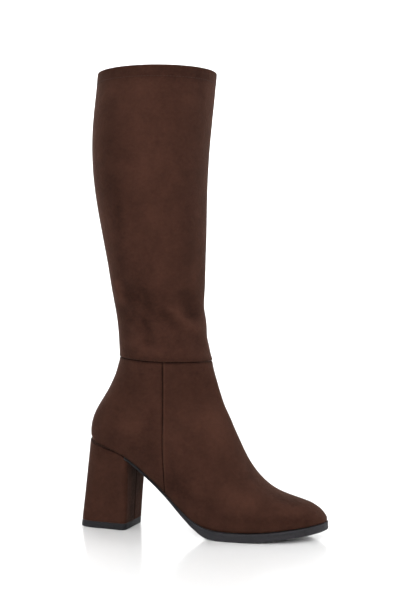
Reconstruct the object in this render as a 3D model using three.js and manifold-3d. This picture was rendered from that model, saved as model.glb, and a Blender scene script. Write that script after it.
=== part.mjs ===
// A right knee-high boot with a block heel and a side zip, in millimetres.
// +X points to the toe, +Y to the inner (zip) side, +Z up. The boot stands on z = 0.
import * as THREE from 'three';
import { mergeGeometries, mergeVertices } from 'three/addons/utils/BufferGeometryUtils.js';
import Module from 'manifold-3d';

const wasm = await Module();
wasm.setup();

// Driving sizes of the last, the shaft and the sole
const LAST_LENGTH = 236; // back of the heel to the tip of the toe, level
const BALL_WIDTH = 84; // across the joints of the foot
const HEEL_HEIGHT = 86.8; // floor to the back of the heel seat
const ANKLE_RISE = 77.2; // back of the heel seat to the ankle seam
const SHAFT_RISE = 276.5; // ankle seam to the collar
const COLLAR_DEPTH = 115.6; // front to back at the collar
const COLLAR_WIDTH = 111; // side to side at the collar
const COLLAR_SETBACK = 8.5; // the collar's centre lies this far behind the ankle's
const WALL = 1.8; // suede and lining together
const GAP = 0.3; // clearance between pieces that touch
const SHAFT_STEP = 0.6; // the shaft's folded lower edge stands this far outside the foot part
const SEAM_DEPTH = 0.6; // grooves of the closed seams
const SEAM_WIDTH = 1.2;

const INSOLE_THICKNESS = 3;
const SOLE_THICKNESS = 8.6; // outsole under the ball
const SOLE_WELT = 2.2; // outsole edge outside the upper, around the forepart
const SOLE_WAIST_INSET = 1; // outsole edge inside the upper, under the arch
const SOLE_LAP = 4; // outsole's end behind the breast of the heel

const HEEL_WIDTH = 44; // block heel, at the floor
const HEEL_BACK = -8; // back of the heel at the floor, from the back of the last
const HEEL_FRONT = 44.5; // breast of the heel at the floor
const HEEL_BREAST_LEAN = 5; // the breast comes forward this much up to the seat
const HEEL_SEAT_MARGIN = 0.4; // heel block outside the upper at the seat
const HEEL_CORNER = 1.5; // chamfers beside the breast
const LIFT_THICKNESS = 6.2;

const ZIP_SLOT = 8; // between the suede edges
const ZIP_SLOT_TOP = 12.4; // the slot opens to this around the slider
const ZIP_SLOT_FLARE = 22; // length of the wider part
const ZIP_END = 6; // zip's lower end above the sole edge
const TAPE_WIDTH = 12;
const TAPE_THICKNESS = 0.7;
const TAPE_SINK = 0.8; // tape inside the wall
const COIL_WIDTH = 5.8;
const COIL_THICKNESS = 2.1;
const SLIDER_LENGTH = 12.5;
const SLIDER_WIDTH = 10;
const SLIDER_FOOT_WIDTH = 8.4;
const SLIDER_PLATE = 1.2;
const SLIDER_TOP_MARGIN = 2.5; // slider's upper end below the collar
const BRIDGE_LENGTH = 6.2;
const BRIDGE_WIDTH = 1.6;
const BRIDGE_BAR = 1;
const TAB_LENGTH = 20;
const TAB_WIDTH = 9.4;
const TAB_NECK = 6.4;
const TAB_THICKNESS = 1.2;
const TAB_HOLE_WIDTH = 4.2;
const TAB_HOLE_LENGTH = 3;

const SEAM_HEIGHT = HEEL_HEIGHT + ANKLE_RISE;
const COLLAR_HEIGHT = SEAM_HEIGHT + SHAFT_RISE;

// Sections of the foot part, from the tip of the toe to the ankle seam. Each lies in a plane
// across the boot, from a point on the bottom or back line to a point on the ridge of the vamp.
// bottomX and ridgeX are shares of LAST_LENGTH; bottomZ of HEEL_HEIGHT up to the seat, then of
// ANKLE_RISE above it; ridgeZ of SEAM_HEIGHT. The edges and sides are shares of BALL_WIDTH
// (minus outer side, plus inner side); widest is the share of the way up where the sides are.
const FOOT_COLUMNS = ['bottomX', 'bottomZ', 'backZ', 'ridgeX', 'ridgeZ',
  'outerEdge', 'innerEdge', 'outerSide', 'innerSide', 'ridgeY', 'widest', 'round'];
const FOOT_SECTIONS = [
  [1.000, 0.188, 0, 1.000, 0.099, 0.095, 0.095, 0.095, 0.095, 0.095, 0.30, 2.2],
  [0.996, 0.187, 0, 0.995, 0.130, 0.015, 0.175, 0.008, 0.182, 0.095, 0.30, 2.2],
  [0.981, 0.180, 0, 0.973, 0.168, -0.068, 0.235, -0.080, 0.247, 0.095, 0.30, 2.2],
  [0.945, 0.164, 0, 0.928, 0.205, -0.172, 0.312, -0.188, 0.328, 0.095, 0.30, 2.1],
  [0.881, 0.138, 0, 0.856, 0.235, -0.277, 0.400, -0.298, 0.421, 0.090, 0.29, 2.0],
  [0.805, 0.112, 0, 0.784, 0.266, -0.353, 0.470, -0.377, 0.494, 0.083, 0.28, 1.95],
  [0.720, 0.097, 0, 0.729, 0.326, -0.402, 0.506, -0.430, 0.534, 0.070, 0.28, 1.9],
  [0.631, 0.094, 0, 0.688, 0.405, -0.417, 0.476, -0.444, 0.508, 0.055, 0.29, 1.9],
  [0.547, 0.113, 0, 0.662, 0.483, -0.398, 0.387, -0.434, 0.462, 0.040, 0.31, 1.9],
  [0.458, 0.247, 0, 0.645, 0.545, -0.372, 0.304, -0.424, 0.432, 0.028, 0.34, 1.9],
  [0.373, 0.474, 0, 0.628, 0.600, -0.352, 0.270, -0.418, 0.415, 0.018, 0.36, 1.9],
  [0.280, 0.678, 0, 0.613, 0.654, -0.343, 0.300, -0.410, 0.407, 0.010, 0.37, 1.95],
  [0.197, 0.843, 0, 0.599, 0.699, -0.336, 0.334, -0.400, 0.400, 0.004, 0.37, 2.0],
  [0.119, 0.936, 0, 0.586, 0.740, -0.318, 0.318, -0.390, 0.390, 0, 0.35, 2.0],
  [0.052, 0.983, 0, 0.577, 0.776, -0.250, 0.250, -0.382, 0.382, 0, 0.32, 2.0],
  [0.018, 0.996, 0, 0.570, 0.808, -0.124, 0.124, -0.381, 0.381, 0, 0.30, 2.0],
  [0.010, 1.000, 0, 0.5635, 0.835, 0, 0, -0.382, 0.382, 0, 0.30, 2.0],
  [0.007, 1.000, 0.055, 0.558, 0.860, 0, 0, -0.385, 0.385, 0, 0.30, 2.0],
  [0.008, 1.000, 0.150, 0.553, 0.883, 0, 0, -0.389, 0.389, 0, 0.305, 2.0],
  [0.023, 1.000, 0.315, 0.546, 0.913, 0, 0, -0.395, 0.395, 0, 0.32, 2.0],
  [0.060, 1.000, 0.493, 0.539, 0.943, 0, 0, -0.404, 0.404, 0, 0.35, 2.05],
  [0.110, 1.000, 0.734, 0.532, 0.972, 0, 0, -0.416, 0.416, 0, 0.39, 2.1],
  [0.138, 1.000, 1.000, 0.527, 1.000, 0, 0, -0.430, 0.430, 0, 0.43, 2.1],
];
const SEAT_CORNER = 16; // the section at the back corner of the heel seat

// Rings of the shaft: rise is a share of SHAFT_RISE. centre, depth and width say how far the
// ring has gone from the ankle seam's size (0) to the collar's (1).
const SHAFT_COLUMNS = ['rise', 'centre', 'depth', 'width', 'widest', 'round'];
const SHAFT_RINGS = [
  [0.000, 0.00, 0.00, 0.00, 0.43, 2.1],
  [0.028, 0.09, -0.15, -0.03, 0.44, 2.1],
  [0.067, 0.26, -0.19, -0.05, 0.45, 2.1],
  [0.132, 0.45, -0.20, 0.01, 0.46, 2.1],
  [0.201, 0.75, -0.11, 0.11, 0.46, 2.1],
  [0.269, 0.95, 0.03, 0.24, 0.46, 2.1],
  [0.336, 1.10, 0.15, 0.36, 0.46, 2.1],
  [0.404, 1.28, 0.32, 0.50, 0.46, 2.1],
  [0.470, 1.46, 0.47, 0.63, 0.46, 2.1],
  [0.538, 1.65, 0.62, 0.76, 0.46, 2.1],
  [0.606, 1.79, 0.74, 0.87, 0.46, 2.1],
  [0.672, 1.84, 0.85, 0.94, 0.46, 2.1],
  [0.741, 1.80, 0.93, 0.98, 0.46, 2.1],
  [0.806, 1.67, 0.99, 1.00, 0.47, 2.1],
  [0.875, 1.45, 1.00, 1.00, 0.48, 2.1],
  [0.939, 1.20, 1.00, 1.00, 0.49, 2.05],
  [1.000, 1.00, 1.00, 1.00, 0.50, 2.0],
];

// Outsole thickness and overhang along the bottom, from the toe (share of LAST_LENGTH).
// weltShare 1 is SOLE_WELT outside the upper, -1 is SOLE_WAIST_INSET inside it.
const SOLE_COLUMNS = ['x', 'thickness', 'weltShare'];
const SOLE_TABLE = [
  [0.15, 0.28, -1.00],
  [0.37, 0.28, -1.00],
  [0.44, 0.44, -0.40],
  [0.50, 0.70, 0.40],
  [0.56, 1.00, 0.90],
  [0.75, 1.00, 1.00],
  [0.84, 0.90, 1.00],
  [0.96, 0.87, 0.80],
  [1.02, 0.86, 0.40],
];

// The zip line on the inner side: height as a share of SEAM_HEIGHT below the ankle seam and
// 1 plus a share of SHAFT_RISE above it, x as a share of LAST_LENGTH
const ZIP_COLUMNS = ['height', 'x'];
const ZIP_LINE = [
  [0.16, 0.452], [0.30, 0.420], [0.42, 0.388], [0.55, 0.362], [0.72, 0.353], [0.86, 0.352],
  [1.00, 0.352], [1.40, 0.336], [2.00, 0.306],
];

// Shape-preserving cubic through the rows of a table, by its first column or by row number
function curve(rows, column, key = null) {
  const value = rows.map((row) => row[column]);
  const at = rows.map((row, i) => (key === null ? i : row[key]));
  const last = rows.length - 1;
  const slope = [];
  for (let i = 0; i < last; i++) slope.push((value[i + 1] - value[i]) / (at[i + 1] - at[i]));
  const tangent = value.map((_, i) => {
    if (i === 0) return slope[0];
    if (i === last) return slope[last - 1];
    const [a, b] = [slope[i - 1], slope[i]];
    return a * b <= 0 ? 0 : (2 * a * b) / (a + b);
  });
  return (s) => {
    const clamped = Math.min(Math.max(s, at[0]), at[last]);
    let i = 0;
    while (i < last - 1 && clamped > at[i + 1]) i++;
    const width = at[i + 1] - at[i];
    const t = (clamped - at[i]) / width;
    const [t2, t3] = [t * t, t * t * t];
    return value[i] * (2 * t3 - 3 * t2 + 1) + value[i + 1] * (3 * t2 - 2 * t3)
      + width * (tangent[i] * (t3 - 2 * t2 + t) + tangent[i + 1] * (t3 - t2));
  };
}

const curves = (rows, names, key = null) => Object.fromEntries(
  names.map((name, i) => [name, curve(rows, i, key)]));

const foot = curves(FOOT_SECTIONS, FOOT_COLUMNS);
const rings = curves(SHAFT_RINGS, SHAFT_COLUMNS, 0);
const soleTable = curves(SOLE_TABLE, SOLE_COLUMNS, 0);
const zipLine = curves(ZIP_LINE, ZIP_COLUMNS, 0);
const ANKLE_SECTION = FOOT_SECTIONS.length - 1;

// A section of the foot part: where it runs in the side view, and its half shape
function footSection(u) {
  return {
    bottom: [foot.bottomX(u) * LAST_LENGTH, foot.bottomZ(u) * HEEL_HEIGHT + foot.backZ(u) * ANKLE_RISE],
    ridge: [foot.ridgeX(u) * LAST_LENGTH, foot.ridgeZ(u) * SEAM_HEIGHT],
    edge: [foot.outerEdge(u) * BALL_WIDTH, foot.innerEdge(u) * BALL_WIDTH],
    side: [foot.outerSide(u) * BALL_WIDTH, foot.innerSide(u) * BALL_WIDTH],
    ridgeY: foot.ridgeY(u) * BALL_WIDTH,
    widest: foot.widest(u),
    round: foot.round(u),
  };
}

const ANKLE = footSection(ANKLE_SECTION);
const ANKLE_CENTRE = (ANKLE.bottom[0] + ANKLE.ridge[0]) / 2;
const ANKLE_DEPTH = ANKLE.ridge[0] - ANKLE.bottom[0];
const ANKLE_WIDTH = ANKLE.side[1] - ANKLE.side[0];

// A level ring of the shaft, in the same terms
function shaftSection(height) {
  const rise = (height - SEAM_HEIGHT) / SHAFT_RISE;
  const centre = ANKLE_CENTRE - rings.centre(rise) * COLLAR_SETBACK;
  const halfDepth = (ANKLE_DEPTH + rings.depth(rise) * (COLLAR_DEPTH - ANKLE_DEPTH)) / 2;
  const halfWidth = (ANKLE_WIDTH + rings.width(rise) * (COLLAR_WIDTH - ANKLE_WIDTH)) / 2;
  return {
    bottom: [centre - halfDepth, height],
    ridge: [centre + halfDepth, height],
    edge: [0, 0],
    side: [-halfWidth, halfWidth],
    ridgeY: 0,
    widest: rings.widest(rise),
    round: rings.round(rise),
  };
}

// Half a section is an oval, cut off by the sole where the edge is inside the side.
// angle runs from minus the cut angle at the edge, through 0 at the widest place, to a
// quarter turn at the ridge.
function cutAngle(section, side) {
  const reach = Math.abs(section.side[side] - section.ridgeY);
  const edge = Math.abs(section.edge[side] - section.ridgeY);
  return reach < 1e-9 ? 0.35 : Math.acos(Math.min(1, edge / reach));
}

function sectionPoint(section, side, angle) {
  const reach = section.side[side] - section.ridgeY;
  const cut = cutAngle(section, side);
  let share;
  let y;
  if (angle < 0) {
    share = section.widest * (1 + Math.sin(angle) / Math.sin(cut));
    y = section.ridgeY + reach * Math.cos(angle);
  } else {
    const power = 2 / section.round;
    share = section.widest + (1 - section.widest) * Math.sin(angle) ** power;
    y = section.ridgeY + reach * Math.max(0, Math.cos(angle)) ** power;
  }
  const [b, r] = [section.bottom, section.ridge];
  return new THREE.Vector3(b[0] + share * (r[0] - b[0]), y, b[1] + share * (r[1] - b[1]));
}

// Points of a section from its outer edge over the ridge to its inner edge
function sectionPoints(section, perSide) {
  const points = [];
  for (let k = 0; k <= 2 * perSide; k++) {
    const side = k <= perSide ? 0 : 1;
    const cut = cutAngle(section, side);
    const along = side === 0 ? k / perSide : 2 - k / perSide;
    points.push(sectionPoint(section, side, -cut + along * (cut + Math.PI / 2)));
  }
  return points;
}

// The bottom line of the last in the side view: height at a length x, and its slope
const SOLE_SAMPLES = 240;
const bottomLine = Array.from({ length: SOLE_SAMPLES + 1 }, (_, i) =>
  footSection((i * SEAT_CORNER) / SOLE_SAMPLES).bottom);

function bottomHeight(x) {
  let i = 1;
  while (i < SOLE_SAMPLES && bottomLine[i][0] > x) i++;
  const [a, b] = [bottomLine[i - 1], bottomLine[i]];
  return a[1] + ((x - a[0]) * (b[1] - a[1])) / (b[0] - a[0]);
}

const bottomSlope = (x) => (bottomHeight(x + 0.5) - bottomHeight(x - 0.5));

// Closed mesh geometry from vertices and faces given by vertex positions
function solidFrom(triangles) {
  const positions = new Float32Array(triangles.flatMap((t) => t.flatMap((p) => [p.x, p.y, p.z])));
  const soup = new THREE.BufferGeometry();
  soup.setAttribute('position', new THREE.BufferAttribute(positions, 3));
  const merged = mergeVertices(soup, 1e-3);
  const index = merged.index.array;
  const kept = [];
  for (let i = 0; i < index.length; i += 3) {
    const [a, b, c] = [index[i], index[i + 1], index[i + 2]];
    if (a !== b && b !== c && c !== a) kept.push(a, b, c);
  }
  merged.setIndex(kept);
  return signedVolume(merged) < 0 ? flipped(merged) : merged;
}

function signedVolume(geometry) {
  const p = geometry.attributes.position;
  const index = geometry.index.array;
  const [a, b, c] = [new THREE.Vector3(), new THREE.Vector3(), new THREE.Vector3()];
  let volume = 0;
  for (let i = 0; i < index.length; i += 3) {
    a.fromBufferAttribute(p, index[i]);
    b.fromBufferAttribute(p, index[i + 1]);
    c.fromBufferAttribute(p, index[i + 2]);
    volume += a.dot(b.cross(c)) / 6;
  }
  return volume;
}

function flipped(geometry) {
  const index = Array.from(geometry.index.array);
  for (let i = 0; i < index.length; i += 3) [index[i + 1], index[i + 2]] = [index[i + 2], index[i + 1]];
  geometry.setIndex(index);
  return geometry;
}

const quad = (a, b, c, d) => [[a, b, c], [a, c, d]];

// Solid between rows of points that all have the same count: a loft with both ends closed
function loft(rows) {
  const triangles = [];
  const count = rows[0].length;
  for (let i = 0; i + 1 < rows.length; i++) {
    for (let j = 0; j < count; j++) {
      const k = (j + 1) % count;
      triangles.push(...quad(rows[i][j], rows[i][k], rows[i + 1][k], rows[i + 1][j]));
    }
  }
  const first = rows[0];
  const last = rows[rows.length - 1];
  for (const [row, turn] of [[first, true], [last, false]]) {
    const flat = row.map((p) => flatPoint(p, row));
    for (const [a, b, c] of THREE.ShapeUtils.triangulateShape(flat, [])) {
      triangles.push(turn ? [row[a], row[c], row[b]] : [row[a], row[b], row[c]]);
    }
  }
  return solidFrom(triangles);
}

// A row's points in the plane that they lie in, counted so that triangles keep the row's turn
function flatPoint(point, row) {
  const normal = new THREE.Vector3();
  for (let i = 0; i < row.length; i++) {
    const [a, b] = [row[i], row[(i + 1) % row.length]];
    normal.x += (a.y - b.y) * (a.z + b.z);
    normal.y += (a.z - b.z) * (a.x + b.x);
    normal.z += (a.x - b.x) * (a.y + b.y);
  }
  normal.normalize();
  const across = new THREE.Vector3().subVectors(row[1], row[0]);
  if (across.length() < 1e-6) across.subVectors(row[2], row[0]);
  across.addScaledVector(normal, -across.dot(normal)).normalize();
  const up = new THREE.Vector3().crossVectors(normal, across);
  return new THREE.Vector2(point.dot(across), point.dot(up));
}

// Booleans on closed geometries
function toManifold(geometry) {
  const bare = geometry.index ? geometry.clone() : mergeVertices(geometry.clone(), 1e-4);
  return new wasm.Manifold(new wasm.Mesh({
    numProp: 3,
    vertProperties: new Float32Array(bare.attributes.position.array),
    triVerts: new Uint32Array(bare.index.array),
  }));
}

function fromManifold(solid) {
  const mesh = solid.getMesh();
  const geometry = new THREE.BufferGeometry();
  geometry.setAttribute('position', new THREE.BufferAttribute(new Float32Array(mesh.vertProperties), 3));
  geometry.setIndex(Array.from(mesh.triVerts));
  return geometry;
}

const cut = (body, ...tools) => fromManifold(
  tools.reduce((left, tool) => left.subtract(toManifold(tool)), toManifold(body)));
const join = (...bodies) => fromManifold(
  bodies.slice(1).reduce((sum, body) => sum.add(toManifold(body)), toManifold(bodies[0])));

// Indexed copy of a three.js geometry with shared corners, ready for booleans
function welded(geometry) {
  const bare = geometry.clone();
  bare.deleteAttribute('normal');
  bare.deleteAttribute('uv');
  return mergeVertices(bare, 1e-4);
}

// A shape in the XZ plane, extruded from y = from to y = to
function sidePrism(outline, from, to) {
  const shape = new THREE.Shape(outline.map(([x, z]) => new THREE.Vector2(x, z)));
  const geometry = new THREE.ExtrudeGeometry(shape, { depth: to - from, bevelEnabled: false });
  geometry.rotateX(Math.PI / 2);
  geometry.translate(0, to, 0);
  return welded(geometry);
}

// Hollow wall from a grid of outer points: rows run along the boot, and each row goes from the
// outer edge over the ridge to the inner edge. From the row closedFrom on, a row is a full ring.
// Before it the wall ends on the bottom line, and the last row ends on a level plane.
function hollowWall(grid, thickness, closedFrom) {
  const top = grid.length - 1;
  const inner = grid.map((row, i) => row.map((point, j) => {
    const last = row.length - 1;
    const up = grid[Math.min(i + 1, top)];
    const down = grid[Math.max(i - 1, 0)];
    const ring = i >= closedFrom;
    const next = j < last ? row[j + 1] : (ring ? row[1] : row[j]);
    const before = j > 0 ? row[j - 1] : (ring ? row[last - 1] : row[j]);
    const along = new THREE.Vector3().subVectors(up[j], down[j]);
    const around = new THREE.Vector3().subVectors(next, before);
    const out = new THREE.Vector3().crossVectors(around, along);
    const onSole = closedFrom > 0 && (i === 0 || i === closedFrom || (i < closedFrom && (j === 0 || j === last)));
    if (onSole && i === 0) out.set(1, 0, 0);
    if (onSole && i === closedFrom && (j === 0 || j === last)) out.set(-1, 0, 0);
    if (i === top || onSole || (closedFrom === 0 && i === 0)) out.z = 0;
    const moved = point.clone().addScaledVector(out.normalize(), -thickness);
    if (onSole && (i === 0 || j === 0 || j === last)) moved.z = bottomHeight(moved.x);
    return moved;
  }));
  const triangles = [];
  const columns = grid[0].length - 1;
  for (let i = 0; i + 1 < grid.length; i++) {
    for (let j = 0; j < columns; j++) {
      triangles.push(...quad(grid[i][j], grid[i][j + 1], grid[i + 1][j + 1], grid[i + 1][j]));
      triangles.push(...quad(inner[i][j + 1], inner[i][j], inner[i + 1][j], inner[i + 1][j + 1]));
    }
    if (i < closedFrom) {
      triangles.push(...quad(inner[i][0], grid[i][0], grid[i + 1][0], inner[i + 1][0]));
      triangles.push(...quad(grid[i][columns], inner[i][columns], inner[i + 1][columns], grid[i + 1][columns]));
    }
  }
  for (const [row, turn] of closedFrom === 0 ? [[0, true], [top, false]] : [[top, false]]) {
    for (let j = 0; j < columns; j++) {
      const face = [grid[row][j], grid[row][j + 1], inner[row][j + 1], inner[row][j]];
      triangles.push(...(turn ? quad(...face.reverse()) : quad(...face)));
    }
  }
  return { geometry: solidFrom(triangles), inner };
}

const PER_SIDE = 14; // columns from an edge to the ridge
const FOOT_STEPS = 2; // rows for each section of the table
const SHAFT_STEPS = 15;

const footRow = (i) => footSection(i / FOOT_STEPS);
const FOOT_ROWS = ANKLE_SECTION * FOOT_STEPS;
const SEAT_ROW = SEAT_CORNER * FOOT_STEPS;
const footGrid = Array.from({ length: FOOT_ROWS + 1 }, (_, i) => sectionPoints(footRow(i), PER_SIDE));

const upperWall = hollowWall(footGrid, WALL, SEAT_ROW);

function shaftGrid() {
  const from = SEAM_HEIGHT + GAP;
  return Array.from({ length: SHAFT_STEPS + 1 }, (_, i) => {
    const height = from + ((COLLAR_HEIGHT - from) * i) / SHAFT_STEPS;
    const section = shaftSection(height);
    const fade = SHAFT_STEP * Math.max(0, 1 - i / 3);
    section.bottom[0] -= fade;
    section.ridge[0] += fade;
    section.side[0] -= fade;
    section.side[1] += fade;
    return sectionPoints(section, PER_SIDE);
  });
}

// The outer surface seen from the side: y at a point (x, z), on the outer or inner side
function sectionThrough(x, z) {
  if (z >= SEAM_HEIGHT) return shaftSection(z);
  const beyond = (u) => {
    const { bottom, ridge } = footSection(u);
    return (ridge[0] - bottom[0]) * (z - bottom[1]) - (ridge[1] - bottom[1]) * (x - bottom[0]);
  };
  let [low, high] = [1, ANKLE_SECTION];
  for (let n = 0; n < 40; n++) {
    const middle = (low + high) / 2;
    if (beyond(middle) > 0) low = middle;
    else high = middle;
  }
  return footSection(low);
}

function surfaceY(x, z, side) {
  const section = sectionThrough(x, z);
  const [b, r] = [section.bottom, section.ridge];
  const share = Math.hypot(x - b[0], z - b[1]) / Math.hypot(r[0] - b[0], r[1] - b[1]);
  const reach = section.side[side] - section.ridgeY;
  if (share < section.widest) {
    const sine = ((1 - share / section.widest) * Math.sin(cutAngle(section, side)));
    return section.ridgeY + reach * Math.sqrt(Math.max(0, 1 - sine * sine));
  }
  const rest = Math.min(1, (share - section.widest) / (1 - section.widest));
  return section.ridgeY + reach * Math.max(0, 1 - rest ** section.round) ** (1 / section.round);
}

// Point at a depth under the outer surface (positive is outside), measured square to it
function surfacePoint(x, z, side, height) {
  const step = 0.5;
  const y = surfaceY(x, z, side);
  const outward = side === 0 ? -1 : 1;
  const slopeX = (surfaceY(x + step, z, side) - surfaceY(x - step, z, side)) / (2 * step);
  const slopeZ = (surfaceY(x, z + step, side) - surfaceY(x, z - step, side)) / (2 * step);
  const normal = new THREE.Vector3(-slopeX, 1, -slopeZ).normalize().multiplyScalar(outward);
  return new THREE.Vector3(x, y, z).addScaledVector(normal, height);
}

// The zip's centre line in the side view, from its lower end to the collar
const zipX = (z) => zipLine.x(z < SEAM_HEIGHT ? z / SEAM_HEIGHT : 1 + (z - SEAM_HEIGHT) / SHAFT_RISE)
  * LAST_LENGTH;

// Side view point beside the zip's centre line, square to it
function besideZip(z, offset) {
  const slope = zipX(z + 0.5) - zipX(z - 0.5);
  const length = Math.hypot(1, slope);
  return [zipX(z) + offset / length, z - (offset * slope) / length];
}

// Height at which the line beside the zip, at an offset, is a distance above the bottom line
function startHeight(offset, above) {
  const over = (z) => {
    const [x, level] = besideZip(z, offset);
    return (level - bottomHeight(x)) / Math.hypot(1, bottomSlope(x));
  };
  let z = SEAM_HEIGHT;
  while (over(z) > above) z -= 0.25;
  return z;
}

function stepsAlong(from, to, count) {
  return Array.from({ length: count + 1 }, (_, i) => from + ((to - from) * i) / count);
}

// Half the slot's width at a height
function slotHalf(z) {
  const into = Math.min(1, Math.max(0, (z - (COLLAR_HEIGHT - ZIP_SLOT_FLARE)) / (ZIP_SLOT_FLARE / 2)));
  return (ZIP_SLOT + (ZIP_SLOT_TOP - ZIP_SLOT) * into * into * (3 - 2 * into)) / 2;
}

function zipSlot() {
  const edge = (direction) => stepsAlong(startHeight(direction * slotHalf(0), ZIP_END), COLLAR_HEIGHT + 2, 44)
    .map((z) => besideZip(z, direction * slotHalf(z)));
  return sidePrism([...edge(1), ...edge(-1).reverse()], 0, COLLAR_WIDTH);
}

// A strip that follows the inner side of the boot beside the zip line, through the common levels
// and its own last ones. Its lower end follows the sole, above it by a distance. corners gives,
// for a height, the corners of the strip's section as [offset from the line, height over the
// surface].
function zipStrip(above, lastLevels, corners) {
  const foot = stepsAlong(0, 1, 4).slice(0, -1);
  const levels = [...foot, ...ZIP_LEVELS, ...lastLevels];
  return loft(levels.map((level, i) => corners(level).map(([offset, height]) => {
    const start = startHeight(offset, above);
    const [x, z] = besideZip(i < foot.length ? start + level * (ZIP_LEVELS[0] - start) : level, offset);
    return surfacePoint(x, z, 1, height);
  })));
}

const TAPE_TOP = -(WALL + TAPE_SINK);
const TAPE_BOTTOM = TAPE_TOP - TAPE_THICKNESS;
const COIL_BOTTOM = TAPE_TOP + GAP;
const COIL_TOP = COIL_BOTTOM + COIL_THICKNESS;
const SLIDER_MIDDLE = COLLAR_HEIGHT - SLIDER_TOP_MARGIN - SLIDER_LENGTH / 2;
const ZIP_LEVELS = stepsAlong(startHeight(-TAPE_WIDTH, ZIP_END) + 5, SLIDER_MIDDLE - SLIDER_LENGTH, 32);
const DIVIDER_LENGTH = 3.4;
const DIVIDER_WIDTH = 2.4;

// The two tapes part above the coil, around the slider's divider
const tapeInnerEdge = (z) => GAP / 2 + (z > SLIDER_MIDDLE ? DIVIDER_WIDTH / 2 + GAP : 0);

function zipTape(direction) {
  const lastLevels = [SLIDER_MIDDLE - 1.5, SLIDER_MIDDLE + 1.5, COLLAR_HEIGHT - 1];
  return zipStrip(ZIP_END - 2, lastLevels, (z) => {
    const across = [tapeInnerEdge(z), COIL_WIDTH / 2, TAPE_WIDTH / 2 + 1, TAPE_WIDTH];
    const over = across.map((offset) => [offset * direction, TAPE_TOP]);
    const under = across.map((offset) => [offset * direction, TAPE_BOTTOM]).reverse();
    return [...over, ...under];
  });
}

function zipCoil() {
  const half = COIL_WIDTH / 2;
  const bevel = 0.5;
  const top = SLIDER_MIDDLE + SLIDER_LENGTH / 2 - DIVIDER_LENGTH - 1.2;
  return zipStrip(ZIP_END + 1, [top], () => [[-half, COIL_BOTTOM], [0, COIL_BOTTOM], [half, COIL_BOTTOM],
    [half, COIL_TOP - bevel], [half - bevel, COIL_TOP], [bevel - half, COIL_TOP], [-half, COIL_TOP - bevel]]);
}

// Slider and pull tab in their own frame: x forward across the zip, y outwards, z up along it
function sliderFrame() {
  const at = surfacePoint(zipX(SLIDER_MIDDLE), SLIDER_MIDDLE, 1, 0);
  const above = surfacePoint(zipX(SLIDER_MIDDLE + 3), SLIDER_MIDDLE + 3, 1, 0);
  const outside = surfacePoint(zipX(SLIDER_MIDDLE), SLIDER_MIDDLE, 1, 1);
  const up = new THREE.Vector3().subVectors(above, at).normalize();
  const out = new THREE.Vector3().subVectors(outside, at).normalize();
  const across = new THREE.Vector3().crossVectors(out, up).normalize();
  const frame = new THREE.Matrix4().makeBasis(across, new THREE.Vector3().crossVectors(up, across), up);
  return frame.setPosition(at);
}

// A plate from an outline in the slider's own x and z, between two levels of y
const plate = (outline, from, to) => sidePrism(outline, from, to);
const block = (x0, x1, y0, y1, z0, z1) => plate([[x0, z0], [x1, z0], [x1, z1], [x0, z1]], y0, y1);

const PLATE_BOTTOM = COIL_TOP + GAP; // underside of the slider's outer plate
const PLATE_TOP = PLATE_BOTTOM + SLIDER_PLATE;
const TAB_CENTRE = PLATE_TOP + GAP + TAB_THICKNESS / 2; // the tab's pivot above the surface

function sliderOutline(inset) {
  const top = SLIDER_WIDTH / 2 - inset;
  const foot = SLIDER_FOOT_WIDTH / 2 - inset;
  const half = SLIDER_LENGTH / 2 - inset;
  const right = [[foot - 1, -half], [foot, 1 - half], [foot, -0.2 * half], [top, 0.35 * half],
    [top, half - 1.2], [top - 1, half], [top - 2.4, half], [0.7, half - 2]];
  const left = right.map(([x, z]) => [-x, z]).reverse();
  return [...right, ...left];
}

function zipSlider() {
  const half = SLIDER_LENGTH / 2;
  const channel = COIL_WIDTH / 2 + GAP;
  const under = TAPE_BOTTOM - GAP;
  const body = plate(sliderOutline(0), COIL_BOTTOM, PLATE_TOP);
  const bore = block(-channel, channel, COIL_BOTTOM - 1, PLATE_BOTTOM, -half - 1, half - DIVIDER_LENGTH - 0.8);
  const bottomPlate = plate(sliderOutline(0.6), under - SLIDER_PLATE, under);
  const divider = block(-DIVIDER_WIDTH / 2, DIVIDER_WIDTH / 2, under - 0.4, PLATE_BOTTOM + 0.4,
    half - DIVIDER_LENGTH - 0.4, half - 2.6);
  const rise = BRIDGE_LENGTH / 2;
  const arch = block(-BRIDGE_WIDTH / 2, BRIDGE_WIDTH / 2, PLATE_TOP - 0.4,
    PLATE_TOP + TAB_THICKNESS + 2 * GAP + BRIDGE_BAR, -rise, rise);
  const eye = block(-BRIDGE_WIDTH, BRIDGE_WIDTH, PLATE_TOP, PLATE_TOP + TAB_THICKNESS + 2 * GAP,
    BRIDGE_BAR - rise, rise - BRIDGE_BAR);
  return join(cut(body, bore), bottomPlate, divider, cut(arch, eye));
}

function pullTab() {
  const ringHalf = TAB_THICKNESS / 2;
  const eyeHalf = BRIDGE_WIDTH / 2 + 0.7;
  const eyeEnd = BRIDGE_LENGTH / 2 + 0.6;
  const neck = TAB_NECK / 2;
  const foot = TAB_WIDTH / 2;
  const end = ringHalf - TAB_LENGTH;
  const outline = [[neck - 1, ringHalf], [neck, ringHalf - 1], [neck, -5], [foot, end + 2.2],
    [foot - 0.5, end + 0.7], [foot - 1.8, end]];
  const mirrored = outline.map(([x, z]) => [-x, z]).reverse();
  const body = plate([...outline, ...mirrored], TAB_CENTRE - ringHalf, TAB_CENTRE + ringHalf);
  const eye = block(-eyeHalf, eyeHalf, 0, TAB_CENTRE + 3, -eyeEnd, -ringHalf);
  const holeEnd = end + 1.8;
  const hole = block(-TAB_HOLE_WIDTH / 2, TAB_HOLE_WIDTH / 2, 0, TAB_CENTRE + 3, holeEnd, holeEnd + TAB_HOLE_LENGTH);
  return cut(body, eye, hole);
}

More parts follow.
